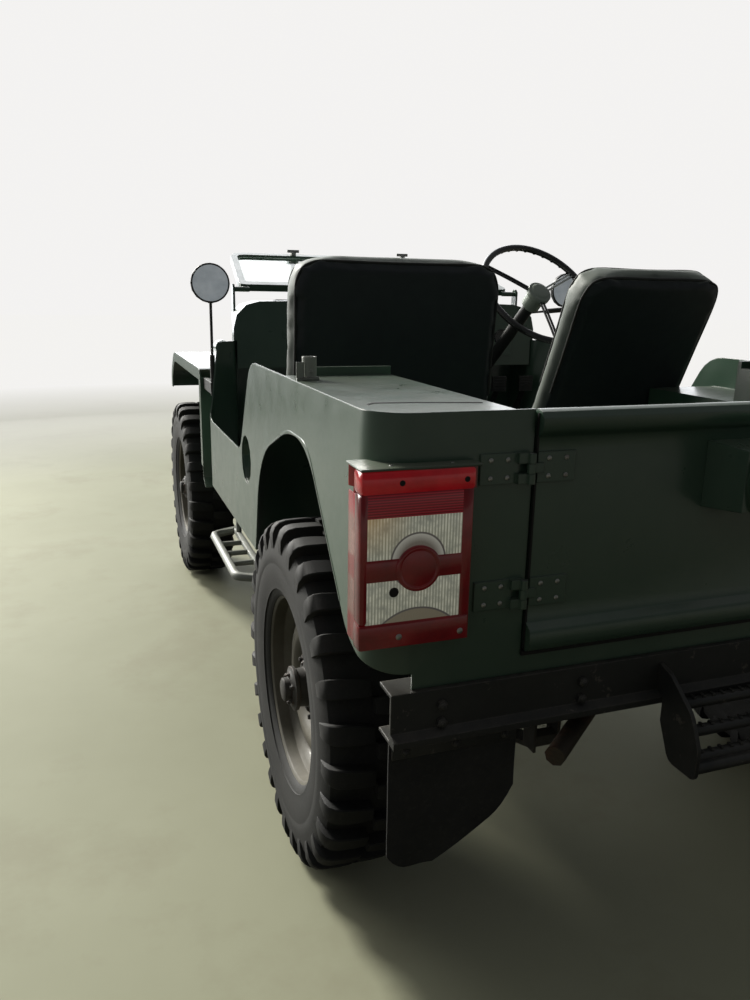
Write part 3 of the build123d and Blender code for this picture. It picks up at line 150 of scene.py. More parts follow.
class Shader(Tree):
    """A material with one main shader, and the patterns that the finishes share."""

    def __init__(self, name):
        self.material = bpy.data.materials.new(name)
        super().__init__(self.material)
        self.surface = self.add("BsdfPrincipled")
        self.add("OutputMaterial", {"Surface": self.surface.outputs[0]})
        self.place = self.add("TexCoord").outputs["Object"]
        self.facing = self.add("NewGeometry").outputs["Normal"]

    def set(self, **values):
        """Feeds the main shader's sockets, with their words joined by an underscore."""
        for key, value in values.items():
            self.feed(self.surface.inputs[key.replace("_", " ")], value)

    def noise(self, scale, detail, roughness=0.6, stretch=(1, 1, 1)):
        spread = self.add("Mapping", {"Vector": self.place, "Scale": stretch})
        return self.add("TexNoise", {"Vector": spread.outputs[0], "Scale": scale,
                                     "Detail": detail, "Roughness": roughness}).outputs["Fac"]

    def stripes(self, scale, axis):
        return self.add("TexWave", {"Vector": self.place, "Scale": scale, "Distortion": 0.0},
                        wave_type="BANDS", bands_direction=axis).outputs["Fac"]

    def mix(self, share, a, b):
        return self.add("Mix", {0: share, 6: a, 7: b}, data_type="RGBA").outputs[2]

    def band(self, value, low, high, blend):
        """One from low to high, blending to nothing outside them."""
        return self.times(self.ramp(value, high + blend, high), self.ramp(value, low - blend, low))

    def dot(self, a, b):
        return self.add("VectorMath", {0: a, 1: b}, operation="DOT_PRODUCT").outputs["Value"]

    def length(self, vector):
        return self.add("VectorMath", {0: vector}, operation="LENGTH").outputs["Value"]

    def upward(self, low=0.5, high=0.95):
        """How far a surface faces up, where dust lies, and where a seat's band is painted paler as a
        painted highlight.
        """
        return self.ramp(self.part(self.facing, "Z"), low, high)

    def rounded(self, radius):
        """Where the surface faces, as if its edges were round."""
        return self.add("Bevel", {"Radius": radius}, samples=4).outputs[0]

    def edges(self, soft):
        """One on a sharp edge and nothing on the flat."""
        return self.ramp(self.math("SUBTRACT", 1.0, self.dot(soft, self.facing)), 0.02, 0.25)

    def relief(self, height, strength, distance, **more):
        """Raises the surface by a pattern, from the normal that may be given."""
        self.set(Normal=self.add("Bump", {"Height": height, "Strength": strength,
                                          "Distance": distance, **more}).outputs[0])


def painted(name, colour, worn, bare, roughness, wear, dust, chips=0.0, coat=0.12):
    """Brushed paint on steel: uneven tint, chipped edges, dust low down and on what faces up."""
    made = Shader(name)
    tint = made.mix(made.ramp(made.noise(2.3, 4), 0.35, 0.7), colour, worn)
    streaks = made.ramp(made.noise(9, 3, stretch=(1, 1, 0.15)), 0.45, 0.75, 0.0, 0.35)
    tint = made.mix(streaks, tint, worn)
    soft = made.rounded(0.0035)
    patchy = made.ramp(made.noise(38, 5, 0.7), 0.62 - 0.25 * wear, 0.7 - 0.2 * wear)
    chipped = made.times(made.edges(soft), patchy)
    if chips:
        spots = made.ramp(made.noise(21, 8, 0.72), 0.7 - 0.18 * chips, 0.73 - 0.18 * chips)
        chipped = made.math("MAXIMUM", chipped, spots)
    tint = made.mix(chipped, tint, bare)
    low = made.ramp(made.part(made.place, "Z"), 0.75, 0.25, 0.0, 0.55)
    dust_and_highlight = made.math("MAXIMUM", low, made.times(made.upward(), 0.6))
    dust_and_highlight = made.times(dust_and_highlight, made.ramp(made.noise(6, 6, 0.7), 0.3, 0.75))
    dust_and_highlight = made.times(dust_and_highlight, dust * 2)
    made.set(Base_Color=made.mix(dust_and_highlight, tint, DUST), Coat_Weight=coat, Coat_Roughness=0.19)
    made.set(Roughness=made.ramp(made.noise(14, 5), 0.2, 0.8, roughness - 0.08, roughness + 0.16))
    made.relief(made.noise(320, 2), 0.05, 0.0015, Normal=soft)
    return made.material


def rubber(name, colour, dust):
    """Old rubber with a grain and patches of dust."""
    made = Shader(name)
    cloud = made.ramp(made.noise(5, 6, 0.7), 0.35, 0.75)
    specks = made.ramp(made.noise(90, 4, 0.7), 0.52, 0.75)
    share = made.math("ADD", cloud, made.times(specks, 0.5))
    share = made.times(share, dust)
    made.set(Base_Color=made.mix(share, colour, (0.16, 0.15, 0.125)))
    made.set(Roughness=made.ramp(cloud, 0, 1, 0.62, 0.85))
    made.relief(made.noise(260, 4), 0.25, 0.0012)
    return made.material


def vinyl(name, colour):
    """Coated cloth with a leather grain and a soft shine."""
    made = Shader(name)
    cells = made.add("TexVoronoi", {"Vector": made.place, "Scale": 420.0},
                     feature="DISTANCE_TO_EDGE").outputs["Distance"]
    cloud = made.times(made.ramp(made.noise(7, 4), 0.3, 0.75), 0.5)
    pale = tuple(1.7 * c + 0.004 for c in colour)
    made.set(Base_Color=made.mix(cloud, colour, pale), Sheen_Weight=0.08)
    made.set(Roughness=made.ramp(made.noise(30, 4), 0.25, 0.8, 0.42, 0.62))
    made.relief(made.ramp(cells, 0.0, 0.25), 0.35, 0.0006)
    return made.material


def metal(name, colour, roughness, rust):
    """Bare metal with scratches, and rust in patches where there is any."""
    made = Shader(name)
    made.set(Base_Color=colour, Metallic=1.0)
    if rust:
        patch = made.ramp(made.noise(17, 7, 0.7), 0.62 - 0.3 * rust, 0.75 - 0.2 * rust)
        made.set(Base_Color=made.mix(patch, colour, RUST))
        made.set(Metallic=made.ramp(patch, 0, 1, 1.0, 0.1))
    made.set(Roughness=made.ramp(made.noise(60, 4, stretch=(1, 1, 6)), 0.2, 0.8,
                                 roughness - 0.06, roughness + 0.15))
    made.relief(made.noise(150, 4), 0.08, 0.001, Normal=made.rounded(0.0012))
    return made.material


def glass(name, colour, roughness):
    made = Shader(name)
    smear = made.ramp(made.noise(12, 5), 0.45, 0.8, roughness, roughness + 0.12)
    made.set(Base_Color=colour, Transmission_Weight=1.0, IOR=1.45, Roughness=smear)
    return made.material


def clear_plastic(name, colour, dim, roughness, painted_glow):
    """Coloured lens plastic over a dark body, its tint varying in patches, with a painted glow where
    one is given.
    """
    made = Shader(name)
    tint = made.mix(made.ramp(made.noise(26, 3), 0.3, 0.8), colour, dim)
    made.set(Base_Color=tint, Roughness=roughness, Coat_Weight=0.8, Coat_Roughness=0.06,
             Subsurface_Weight=0.15, Subsurface_Scale=0.004)
    made.set(Emission_Color=tint, Emission_Strength=painted_glow)
    made.relief(made.noise(80, 2), 0.03, 0.001)
    return made.material


def seat_finish(name, rear):
    """Near black vinyl whose side bands, between the seams, are a paler dusty green, painted paler
    still where they face up: dust and a painted highlight.
    """
    made = Shader(name)
    band = made.ramp(made.math("ABSOLUTE", made.dot(made.facing, rear)), 0.72, 0.45)
    cloud = made.ramp(made.noise(9, 5), 0.3, 0.7, 0.5, 1.0)
    # Where the band faces up it is paler: dust, and a painted highlight where light falls on the top
    # band
    dust_and_highlight = made.mix(made.times(made.upward(-0.2, 0.8), cloud),
                     (0.085, 0.105, 0.086), (0.27, 0.3, 0.26))
    dark = made.mix(made.ramp(made.noise(5, 5), 0.35, 0.75),
                    (0.0095, 0.015, 0.0175), (0.016, 0.023, 0.026))
    made.set(Base_Color=made.mix(band, dark, dust_and_highlight), Sheen_Weight=0.05)
    made.set(Roughness=made.ramp(made.noise(30, 4), 0.25, 0.8, 0.46, 0.64))
    grain = made.times(made.noise(420, 2), 0.6)
    made.relief(made.math("ADD", grain, made.noise(9, 3)), 0.25, 0.0012)
    return made.material


def lamp_window_finish(side):
    """Ribbed clear plastic over a round bowl with a painted reflection and painted shade, an amber
    tint in the outer corner, and a painted glow.
    """
    made = Shader("plastic_clear_" + SIDES[side])
    x, z = made.part(made.place, "X"), made.part(made.place, "Z")

    def reach(height):
        """How far the surface lies from the middle of a bowl at this height."""
        across = made.math("SUBTRACT", x, side * LAMP_MIDDLE, clamp=False)
        rise = made.math("SUBTRACT", z, height, clamp=False)
        return made.length(made.add("CombineXYZ", {"X": across, "Z": rise}).outputs[0])

    upper, lower = reach(0.86), reach(0.696)
    bowl = made.math("MAXIMUM", made.ramp(upper, 0.045, 0.0435), made.ramp(lower, 0.087, 0.085))
    rim = made.math("MAXIMUM", made.band(upper, 0.0435, 0.0455, 0.001),
                    made.band(lower, 0.0855, 0.0875, 0.001))
    ribs = made.stripes(62.0, "X")
    base = made.mix(ribs, (0.3, 0.3, 0.22), (0.74, 0.74, 0.6))
    base = made.mix(made.ramp(made.noise(60, 3), 0.4, 0.7), base, (0.3, 0.31, 0.25))
    amber = made.times(made.ramp(x, side * 0.665, side * 0.742), made.ramp(z, 0.87, 0.925))
    base = made.mix(made.times(amber, 0.55), base, (0.62, 0.36, 0.1))
    # The bowls' painted reflection and shade: a bright ring round a dark middle, and painted shade
    # low down
    bowl_painted_light = made.mix(made.ramp(upper, 0.03, 0.045), (0.2, 0.18, 0.15), (0.58, 0.57, 0.5))
    bowl_painted_light = made.mix(made.ramp(z, 0.8, 0.79), bowl_painted_light, (0.24, 0.21, 0.15))
    base = made.mix(rim, made.mix(bowl, base, bowl_painted_light), (0.12, 0.11, 0.1))
    made.set(Base_Color=base, Roughness=0.16, Coat_Weight=0.9, Coat_Roughness=0.04)
    # A painted glow: the lamp is not lit, and the glow stands in for light from the bright side
    made.set(Emission_Color=base, Emission_Strength=0.3)
    made.relief(ribs, 0.25, 0.0012)
    return made.material


def strip_finish():
    """Dark red reflector with fine level lines, and a painted glow."""
    made = Shader("plastic_strip")
    lines = made.stripes(75.0, "Z")
    tint = made.mix(lines, (0.085, 0.006, 0.01), (0.24, 0.012, 0.02))
    made.set(Base_Color=tint, Roughness=0.2, Coat_Weight=0.8, Coat_Roughness=0.08)
    # A painted glow, standing in for light through the red plastic; the lamp is not lit
    made.set(Emission_Color=tint, Emission_Strength=0.3)
    made.relief(lines, 0.35, 0.001)
    return made.material


def pale_wrap_finish():
    """Side of the lamp, painted paler as painted light that comes through the red plastic."""
    made = Shader("plastic_wrap")
    z = made.part(made.place, "Z")
    tint = made.mix(made.ramp(made.noise(24, 4), 0.35, 0.65),
                    (0.22, 0.075, 0.062), (0.34, 0.17, 0.14))
    tint = made.mix(made.ramp(z, 0.925, 0.94), tint, (0.34, 0.012, 0.02))
    tint = made.mix(made.ramp(z, 0.775, 0.765), tint, (0.3, 0.012, 0.018))
    tint = made.mix(made.band(z, 0.834, 0.864, 0.006), tint, (0.25, 0.01, 0.014))
    made.set(Base_Color=tint, Roughness=0.22, Coat_Weight=0.6, Coat_Roughness=0.1)
    return made.material


# Paints: name, colour, colour where worn, what shows where chipped, roughness, wear, dust,
# chips, varnish
PAINTS = {
    "body_green": ("paint_body", GREEN, GREEN_WORN, GREEN_DEEP, 0.3, 0.4, 0.4, 0.0, 0.7),
    "green_pale": ("paint_ledge", (0.085, 0.12, 0.08), (0.12, 0.15, 0.11), GREEN_DEEP,
                   0.35, 0.4, 0.4),
    "bumper_black": ("paint_bumper", (0.008, 0.01, 0.01), (0.018, 0.02, 0.02),
                     (0.1, 0.09, 0.075), 0.5, 0.9, 0.3, 0.5),
    "gloss_black": ("paint_rim", (0.009, 0.009, 0.009), (0.016, 0.016, 0.016), STEEL,
                    0.22, 0.2, 0.1, 0.0, 0.6),
    "step_grey": ("paint_step", (0.26, 0.28, 0.25), (0.33, 0.35, 0.31), (0.12, 0.11, 0.09),
                  0.4, 0.8, 0.4, 0.3),
    "chassis_paint": ("paint_chassis", (0.028, 0.03, 0.027), (0.045, 0.046, 0.04), RUST,
                      0.62, 0.7, 0.55, 0.3),
    "engine_iron": ("paint_engine", (0.05, 0.052, 0.045), (0.07, 0.068, 0.055), RUST,
                    0.6, 0.6, 0.6, 0.4),
    "wheel_paint": ("paint_wheel", (0.062, 0.058, 0.038), (0.098, 0.088, 0.056), RUST,
                    0.55, 0.6, 0.6, 0.25),
    "hub_dark": ("paint_hub", (0.013, 0.013, 0.012), (0.024, 0.022, 0.019), RUST,
                 0.55, 0.7, 0.25, 0.25),
    "hub_pale": ("paint_wheel_hub", (0.25, 0.3, 0.25), (0.34, 0.38, 0.32), STEEL,
                 0.35, 0.3, 0.2),
    "control_black": ("paint_control", (0.016, 0.017, 0.016), (0.03, 0.03, 0.028), STEEL,
                      0.45, 0.5, 0.3),
}
# Rubbers: name, colour, dust
RUBBERS = {
    "tyre_rubber": ("rubber_tyre", (0.009, 0.01, 0.01), 0.16),
    "flap_rubber": ("rubber_flap", (0.008, 0.009, 0.01), 0.2),
    "piping": ("vinyl_piping", (0.01, 0.011, 0.011), 0.25),
    # dark: the deck seams' joints, and painted shade in the tailgate's gap and in the lamps' holes
    "dark": ("gap_dark", (0.004, 0.004, 0.004), 0.05),
}
# Metals: name, colour, roughness, rust
METALS = {
    "exhaust_steel": ("steel_exhaust", (0.1, 0.085, 0.07), 0.6, 0.5),
    "screw": ("steel_screw", (0.42, 0.42, 0.4), 0.38, 0.15),
    "chrome": ("steel_bowl", (0.8, 0.8, 0.8), 0.1, 0.0),
    "spoke_grey": ("steel_spoke", (0.55, 0.57, 0.55), 0.3, 0.0),
}
# Lens plastics: name, colour, the same where dim, roughness, painted glow
PLASTICS = {
    "lamp_red": ("plastic_red", (0.42, 0.008, 0.012), (0.16, 0.003, 0.006), 0.12, 0.0),
    # The lip and the bands give off a painted glow, though the lamp is not lit
    "lamp_lip": ("plastic_lip", (0.46, 0.008, 0.014), (0.28, 0.004, 0.008), 0.12, 0.22),
    "lamp_dark": ("plastic_band", (0.15, 0.004, 0.006), (0.075, 0.002, 0.004), 0.16, 0.18),
    "lamp_amber": ("plastic_amber", (0.7, 0.28, 0.04), (0.45, 0.16, 0.02), 0.16, 0.0),
    # The mirror's face is pale and glows: a painted reflection
    "mirror": ("mirror_painted_reflection", (0.36, 0.39, 0.41), (0.26, 0.29, 0.31), 0.08, 0.5),
}
LAMP_MIDDLE = 0.655
FINISH = {
    "seat_vinyl": vinyl("vinyl_seat", (0.014, 0.02, 0.019)),
    "lamp_glass": glass("glass_lamp", (0.9, 0.92, 0.95), 0.05),
    "window_glass": glass("glass_window", (0.86, 0.93, 0.9), 0.03),
    "lamp_strip": strip_finish(),
    "lamp_pale": pale_wrap_finish(),
    "lamp_clear_left": lamp_window_finish(1),
    "lamp_clear_right": lamp_window_finish(-1),
}
for make, table in ((painted, PAINTS), (rubber, RUBBERS), (metal, METALS),
                    (clear_plastic, PLASTICS)):
    FINISH.update({key: make(*row) for key, row in table.items()})

SLOT_OF = {name: node.data.materials[0].name.split(".")[0] for name, node in nodes.items()}
SURFACES = {}


def dress_nodes():
    """Gives every node of the frame the finish that its slot names."""
    for node in nodes.values():
        for index, old in enumerate(node.data.materials):
            node.data.materials[index] = FINISH[old.name.split(".")[0]]


def placed(name, data):
    """A new object in the scene, with this data."""
    made = bpy.data.objects.new(name, data)
    bpy.context.scene.collection.objects.link(made)
    return made


def placed_mesh(name, mesh):
    """A new object in the scene from a mesh under construction, which it uses up."""
    data = bpy.data.meshes.new(name)
    mesh.to_mesh(data)
    mesh.free()
    return placed(name, data)


def on(side, x, y, z):
    """A place on the car's left side, or its mirror image on the right side."""
    return side * x, y, z


def turns(count):
    """Evenly spaced angles all round."""
    return [math.tau * k / count for k in range(count)]


def circle(centre, first, second, radius, sides):
    """Points round a circle in the plane of two directions."""
    return [centre + radius * (math.cos(t) * first + math.sin(t) * second) for t in turns(sides)]


def bent(points, bend):
    """The points of a line whose corners are rounded."""
    points = [Vector(point) for point in points]
    if not bend:
        return points
    steps = 6
    path = [points[0]]
    for a, b, c in zip(points, points[1:], points[2:]):
        reach = min(bend, 0.45 * (a - b).length, 0.45 * (c - b).length)
        start = b + (a - b).normalized() * reach
        end = b + (c - b).normalized() * reach
        for t in (k / steps for k in range(steps + 1)):
            path.append(start * (1 - t) ** 2 + b * 2 * t * (1 - t) + end * t * t)
    return path + [points[-1]]


class Form:
    """A mesh under construction, from the few shapes that the pieces share."""

    def __init__(self, source=None):
        self.mesh = bmesh.new()
        if source:
            self.mesh.from_mesh(source)

    def strip(self, a, b):
        """Joins two lines of points by faces."""
        for corners in zip(a, a[1:], b[1:], b):
            self.mesh.faces.new(corners)

    def skin(self, rings, caps=True):
        """Joins closed rings of the same number of points by faces."""
        made = [[self.mesh.verts.new(point) for point in ring] for ring in rings]
        for a, b in zip(made, made[1:]):
            self.strip(a + a[:1], b + b[:1])
        if caps:
            self.mesh.faces.new(made[0][::-1])
            self.mesh.faces.new(made[-1])
        return self

    def turned(self, origin, axis, stations, sides, around=False):
        """Turns stations of (distance along the axis, radius) about the axis."""
        along = Vector(axis).normalized()
        first = along.orthogonal().normalized()
        second = along.cross(first)
        rings = [circle(Vector(origin) + along * distance, first, second, radius, sides)
                 for distance, radius in stations]
        if around:
            rings.append(rings[0])
        return self.skin(rings, caps=not around)

    def rod(self, start, end, radius):
        """A round bar whose ends have a small edge."""
        run = Vector(end) - Vector(start)
        edge = 0.12 * radius
        stations = [(0, radius - edge), (edge, radius), (run.length - edge, radius),
                    (run.length, radius - edge)]
        return self.turned(start, run, stations, 20)

    def tube(self, points, radius, bend, sides):
        """A round bar along a line whose corners are bent."""
        path = bent(points, bend)
        side = (path[1] - path[0]).orthogonal().normalized()
        rings = []
        for before, place, after in zip(path[:1] + path, path, path[1:] + path[-1:]):
            ahead = (after - before).normalized()
            side = (side - ahead * side.dot(ahead)).normalized()
            rings.append(circle(place, side, ahead.cross(side), radius, sides))
        return self.skin(rings)

    def hoop(self, origin, axis, reach, radius, sides):
        """A ring of round bar."""
        stations = [(radius * math.sin(t), reach + radius * math.cos(t)) for t in turns(12)]
        return self.turned(origin, axis, stations, sides, around=True)

    def block(self, start, end, edge=0.0):
        """A box between two opposite corners, with small round edges."""
        cube = bmesh.ops.create_cube(self.mesh, size=1.0)["verts"]
        for vert in cube:
            vert.co = Vector([(a + b) / 2 + abs(b - a) * c for a, b, c in zip(start, end, vert.co)])
        if edge:
            lines = dict.fromkeys(line for vert in cube for line in vert.link_edges)
            bmesh.ops.bevel(self.mesh, geom=list(lines), offset=edge, segments=2, profile=0.5,
                            affect="EDGES", clamp_overlap=True)
        return self

    def plate(self, side, x0, x1, y0, y1, z0, z1, edge):
        """A box from its reach on each axis, on one of the car's sides."""
        return self.block(on(side, x0, y0, z0), on(side, x1, y1, z1), edge)

    def screw(self, place, facing, radius, head):
        """A low round head on a face."""
        stations = [(-0.0005, radius), (head * 0.5, radius), (head, radius * 0.7)]
        return self.turned(place, facing, stations, 14)

    def nut(self, place, facing, radius, height):
        """A six-sided nut with the end of its stud."""
        self.turned(place, facing, [(-0.0005, radius), (height * 0.85, radius),
                                    (height, radius * 0.86)], 6)
        return self.turned(place, facing, [(0, radius * 0.5), (height * 1.35, radius * 0.5),
                                           (height * 1.5, radius * 0.4)], 12)

    def done(self, name, finish, body="root", slot=None, sharp=40, replaces=()):
        """Makes the piece, shaded smooth but for its sharp edges, and puts it on its body."""
        bmesh.ops.remove_doubles(self.mesh, verts=self.mesh.verts, dist=1e-5)
        bmesh.ops.recalc_face_normals(self.mesh, faces=self.mesh.faces)
        for face in self.mesh.faces:
            face.smooth = True
        for line in self.mesh.edges:
            if len(line.link_faces) == 2:
                line.smooth = line.calc_face_angle(0) < math.radians(sharp)
        piece = placed_mesh(name, self.mesh)
        piece.data.materials.append(FINISH[finish])
        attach(piece, body)
        if replaces:
            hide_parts(*replaces)


def surface_of(mesh):
    return BVHTree.FromPolygons([vert.co for vert in mesh.vertices],
                                [face.vertices for face in mesh.polygons])


def touched(name, start, direction):
    """Where a ray meets a node's surface, and the way the surface faces there."""
    if name not in SURFACES:
        SURFACES[name] = surface_of(nodes[name].data)
    place, normal = SURFACES[name].ray_cast(Vector(start), Vector(direction).normalized())[:2]
    if place is None:
        raise ValueError(f"nothing of {name} lies that way from {start}")
    return place, normal if normal.dot(Vector(direction)) < 0 else -normal


def smooth_copy(name, sharp):
    """Stands for a node whose flat-sided bars are round in the real car."""
    node = nodes[name]
    Form(node.data).done(name + "_round", SLOT_OF[name], body_of(node)[0], SLOT_OF[name],
                         sharp, (name,))


# Tyre: (distance from the middle plane, radius) of the carcass, from a bead to the middle
CARCASS = mm(
    (64, 208.5), (74, 210.5), (80, 217), (83.5, 228), (86.5, 228.5), (86.8, 232.5), (88.5, 240),
    (91.5, 262), (93.5, 285), (93.2, 288), (94.1, 290), (94, 308), (92, 325), (88.5, 342),
    (83, 353), (72, 358.5), (40, 360), (0, 360.5))
# Lug: (distance from the middle plane, radius of its top, half its width)
LUG = mm(
    (3, 383.5, 15.5), (12, 385, 16.5), (34, 385, 18.5), (62, 383.8, 19.5), (78, 380, 19.5),
    (88.5, 371.5, 18.5), (94.5, 357, 17), (94.8, 340, 15.5), (93.8, 326, 13.5))
LUGS_IN_A_ROW = 28
LUG_EDGE = 0.0022
LUG_LEAN = 0.01
LUG_SHOULDER = 0.095
# A lug's foot lies at this radius on the tread, and this far in from its top on the shoulder
LUG_FOOT = 0.352
LUG_SINK = 0.03


def tyre(place, side, hub):
    """A deep lugged tyre: two rows of bars, half a step apart, that run down the shoulders."""
    form = Form()
    ring = [*CARCASS, *((-u, radius) for u, radius in CARCASS[-2::-1])]
    form.turned(hub, (side, 0, 0), ring, 120, around=True)
    for half in (1, -1):
        for start in turns(LUGS_IN_A_ROW):
            middle = start + (0.0 if half > 0 else math.pi / LUGS_IN_A_ROW)
            rings = []
            for u, top, width in LUG:
                foot = LUG_FOOT if u < 0.08 else top - LUG_SINK
                inner = u if u < 0.09 else u - 0.01
                # Each bar leans a little, ahead at the middle and back at the shoulder
                lean = LUG_LEAN * (0.5 - u / LUG_SHOULDER) * half
                rows = [(width, foot, inner), (width, top - LUG_EDGE, u), (width - LUG_EDGE, top, u)]
                rows = [(-offset, *rest) for offset, *rest in rows] + rows[::-1]
                ring = []
                for offset, radius, across in rows:
                    angle = middle + (offset + lean) / AXLE_HEIGHT
                    ring.append(hub + Vector((side * across * half, radius * math.sin(angle),
                                              radius * math.cos(angle))))
                rings.append(ring)
            form.skin(rings)
    form.done(f"tyre_{place}_treaded", "tyre_rubber", "wheel_" + place, "tyre_rubber", 32,
              ("tyre_" + place,))


# Wheel: (distance from the middle plane, radius), the rim from the outer lip to the inner one
RIM = mm(
    (78.5, 221.5), (79, 223.5), (76.5, 224), (72.5, 221.5), (70, 212), (66.5, 207.5), (56, 206),
    (40, 204), (33, 196), (27, 185), (20, 180), (-10, 180), (-30, 196), (-56, 206), (-66.5, 207.5),
    (-70, 212), (-72.5, 221.5), (-76.5, 224), (-78.5, 221.5), (-75.5, 219.5), (-72.5, 209.5),
    (-68, 204), (-56, 202), (-31, 192.5), (-11, 176.5), (19, 176.5), (29, 181), (36, 192.5),
    (42, 200.5), (56, 202), (68, 204), (72.5, 209.5), (75.5, 219.5))
# Dish: the face and then the back of the pressed disc
DISH = mm(
    (17, 177.5), (23.5, 170), (35, 145), (38.8, 125), (38, 110), (27, 98), (19.5, 90), (17.8, 70),
    (17.8, 56), (17.8, 0), (13, 0), (13, 90), (22, 101), (33, 110), (33.8, 125), (30, 145),
    (19, 169), (12, 177.5))
# Hub with its locking ring and cap
HUB = mm(
    (10, 60), (34, 60), (38, 56), (40, 44), (60, 43), (62, 50), (70, 50), (72, 43), (76, 38),
    (76.5, 27), (90, 26), (92.5, 22), (93, 0))
# Brake drum behind the disc
DRUM = mm(
    (-70, 0), (-70, 128), (-64, 134), (-52, 134), (-50, 127), (-6, 127), (6, 118), (11, 95), (11, 0))
VALVE = mm((-12, 4), (12, 4), (14, 5.5), (22, 5.5), (22.5, 3))


def wheel(place, side, hub):
    """A pressed steel wheel, its bolted hub, the wheel nuts and the valve."""
    name = "wheel_" + place
    out = Vector((side, 0, 0))
    form = Form()
    form.turned(hub, out, RIM, 96, around=True)
    form.turned(hub, out, DISH, 72)
    form.done(name + "_pressed", "wheel_paint", name, "wheel_paint", replaces=(name,))

    def around(reach, angle, u):
        return hub + Vector((side * u, reach * math.sin(angle), reach * math.cos(angle)))

    parts = Form()
    parts.turned(hub, out, HUB, 40)
    for t in turns(5):
        parts.nut(around(0.0699, t + 0.3, 0.0178), out, 0.0115, 0.014)
    for t in turns(6):
        parts.nut(around(0.034, t, 0.0725), out, 0.0068, 0.006)
        parts.screw(around(0.051, t + math.pi / 6, 0.0375), out, 0.005, 0.004)
    parts.turned(hub, out, DRUM, 56)
    parts.done(name + "_hub", "hub_dark", name, "wheel_paint", 35)
    stem = Form().turned(around(0.196, 1.9, 0.05), out, VALVE, 12)
    stem.done(name + "_valve", "control_black", name)


def loose_parts(name):
    """The closed shells of a node, each as a mesh of its own, the highest one last."""
    source = bmesh.new()
    source.from_mesh(nodes[name].data)
    bmesh.ops.remove_doubles(source, verts=source.verts, dist=1e-5)
    source.verts.index_update()
    left = set(source.verts)
    shells = []
    while left:
        found, near = set(), {left.pop()}
        while near:
            found |= near
            near = {line.other_vert(vert) for vert in near for line in vert.link_edges} - found
        left -= found
        kept = {vert.index for vert in found}
        part = source.copy()
        bmesh.ops.delete(part, geom=[vert for vert in part.verts if vert.index not in kept],
                         context="VERTS")
        shells.append(part)
    source.free()
    return sorted(shells, key=lambda part: max(vert.co.z for vert in part.verts))


def settle(piece):
    """Applies the modifiers of a piece to its mesh."""
    graph = bpy.context.evaluated_depsgraph_get()
    graph.update()
    made = bpy.data.meshes.new_from_object(piece.evaluated_get(graph))
    piece.modifiers.clear()
    piece.data = made


def blow_up(pad, pressure, cap):
    """Swells a pad as cloth under pressure, no point of it further than the cap."""
    last_frame = 16
    start = [vert.co.copy() for vert in pad.data.vertices]
    cloth = pad.modifiers.new("cloth", "CLOTH")
    given(cloth.settings, quality=4, mass=0.3, use_pressure=True, uniform_pressure_force=pressure)
    cloth.settings.effector_weights.gravity = 0.0
    given(cloth.point_cache, frame_start=1, frame_end=last_frame)
    for step in range(1, last_frame + 1):
        bpy.context.scene.frame_set(step)
    settle(pad)
    bpy.context.scene.frame_set(1)
    for vert, place in zip(pad.data.vertices, start):
        move = vert.co - place
        if move.length > cap:
            vert.co = place + move * (cap / move.length)


def padding(name, shell, shrink, voxel, pressure, cap, finish, replaced=()):
    """A stuffed pad: a shrunk shell of small faces, blown up as cloth and then smoothed."""
    bmesh.ops.recalc_face_normals(shell, faces=shell.faces)
    shell.normal_update()
    moves = [(vert, vert.normal * (shrink * vert.calc_shell_factor())) for vert in shell.verts]
    for vert, move in moves:
        vert.co -= move
    pad = placed_mesh(name, shell)
    given(pad.modifiers.new("remesh", "REMESH"), mode="VOXEL", voxel_size=voxel)
    settle(pad)
    blow_up(pad, pressure, cap)
    for face in pad.data.polygons:
        face.use_smooth = True
    pad.data.materials.clear()
    pad.data.materials.append(finish)
    given(pad.modifiers.new("smooth", "SMOOTH"), factor=0.5, iterations=6)
    settle(pad)
    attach(pad, "root")
    if replaced:
        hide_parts(*replaced)
    return pad


# Front seats: middle, width, lean of the back in degrees
SEATS = {"driver": (-0.382, 0.478, 24), "passenger": (0.33, 0.59, 5)}
PIPING_RADIUS = 0.0042
PIPING_INSET = 0.007
PIPING_CORNER = 0.07
PIPING_DROP = 0.3
# The path starts this far outside the pad, and its points are at least as far apart
PIPING_STEP = 0.004


def piping_path(half, top):
    """Places up one side of a back, over its top and down the other side, as (x, z)."""
    corner = PIPING_CORNER
    side = [(half, top - corner - PIPING_DROP * (1 - k / 9)) for k in range(10)]
    side += [(half - corner + corner * math.cos(t), top - corner + corner * math.sin(t))
             for t in (math.radians(6 * k) for k in range(1, 16))]
    across = [((half - corner) * (1 - 2 * k / 11), top) for k in range(12)]
    return side + across + [(-x, z) for x, z in side[::-1]]


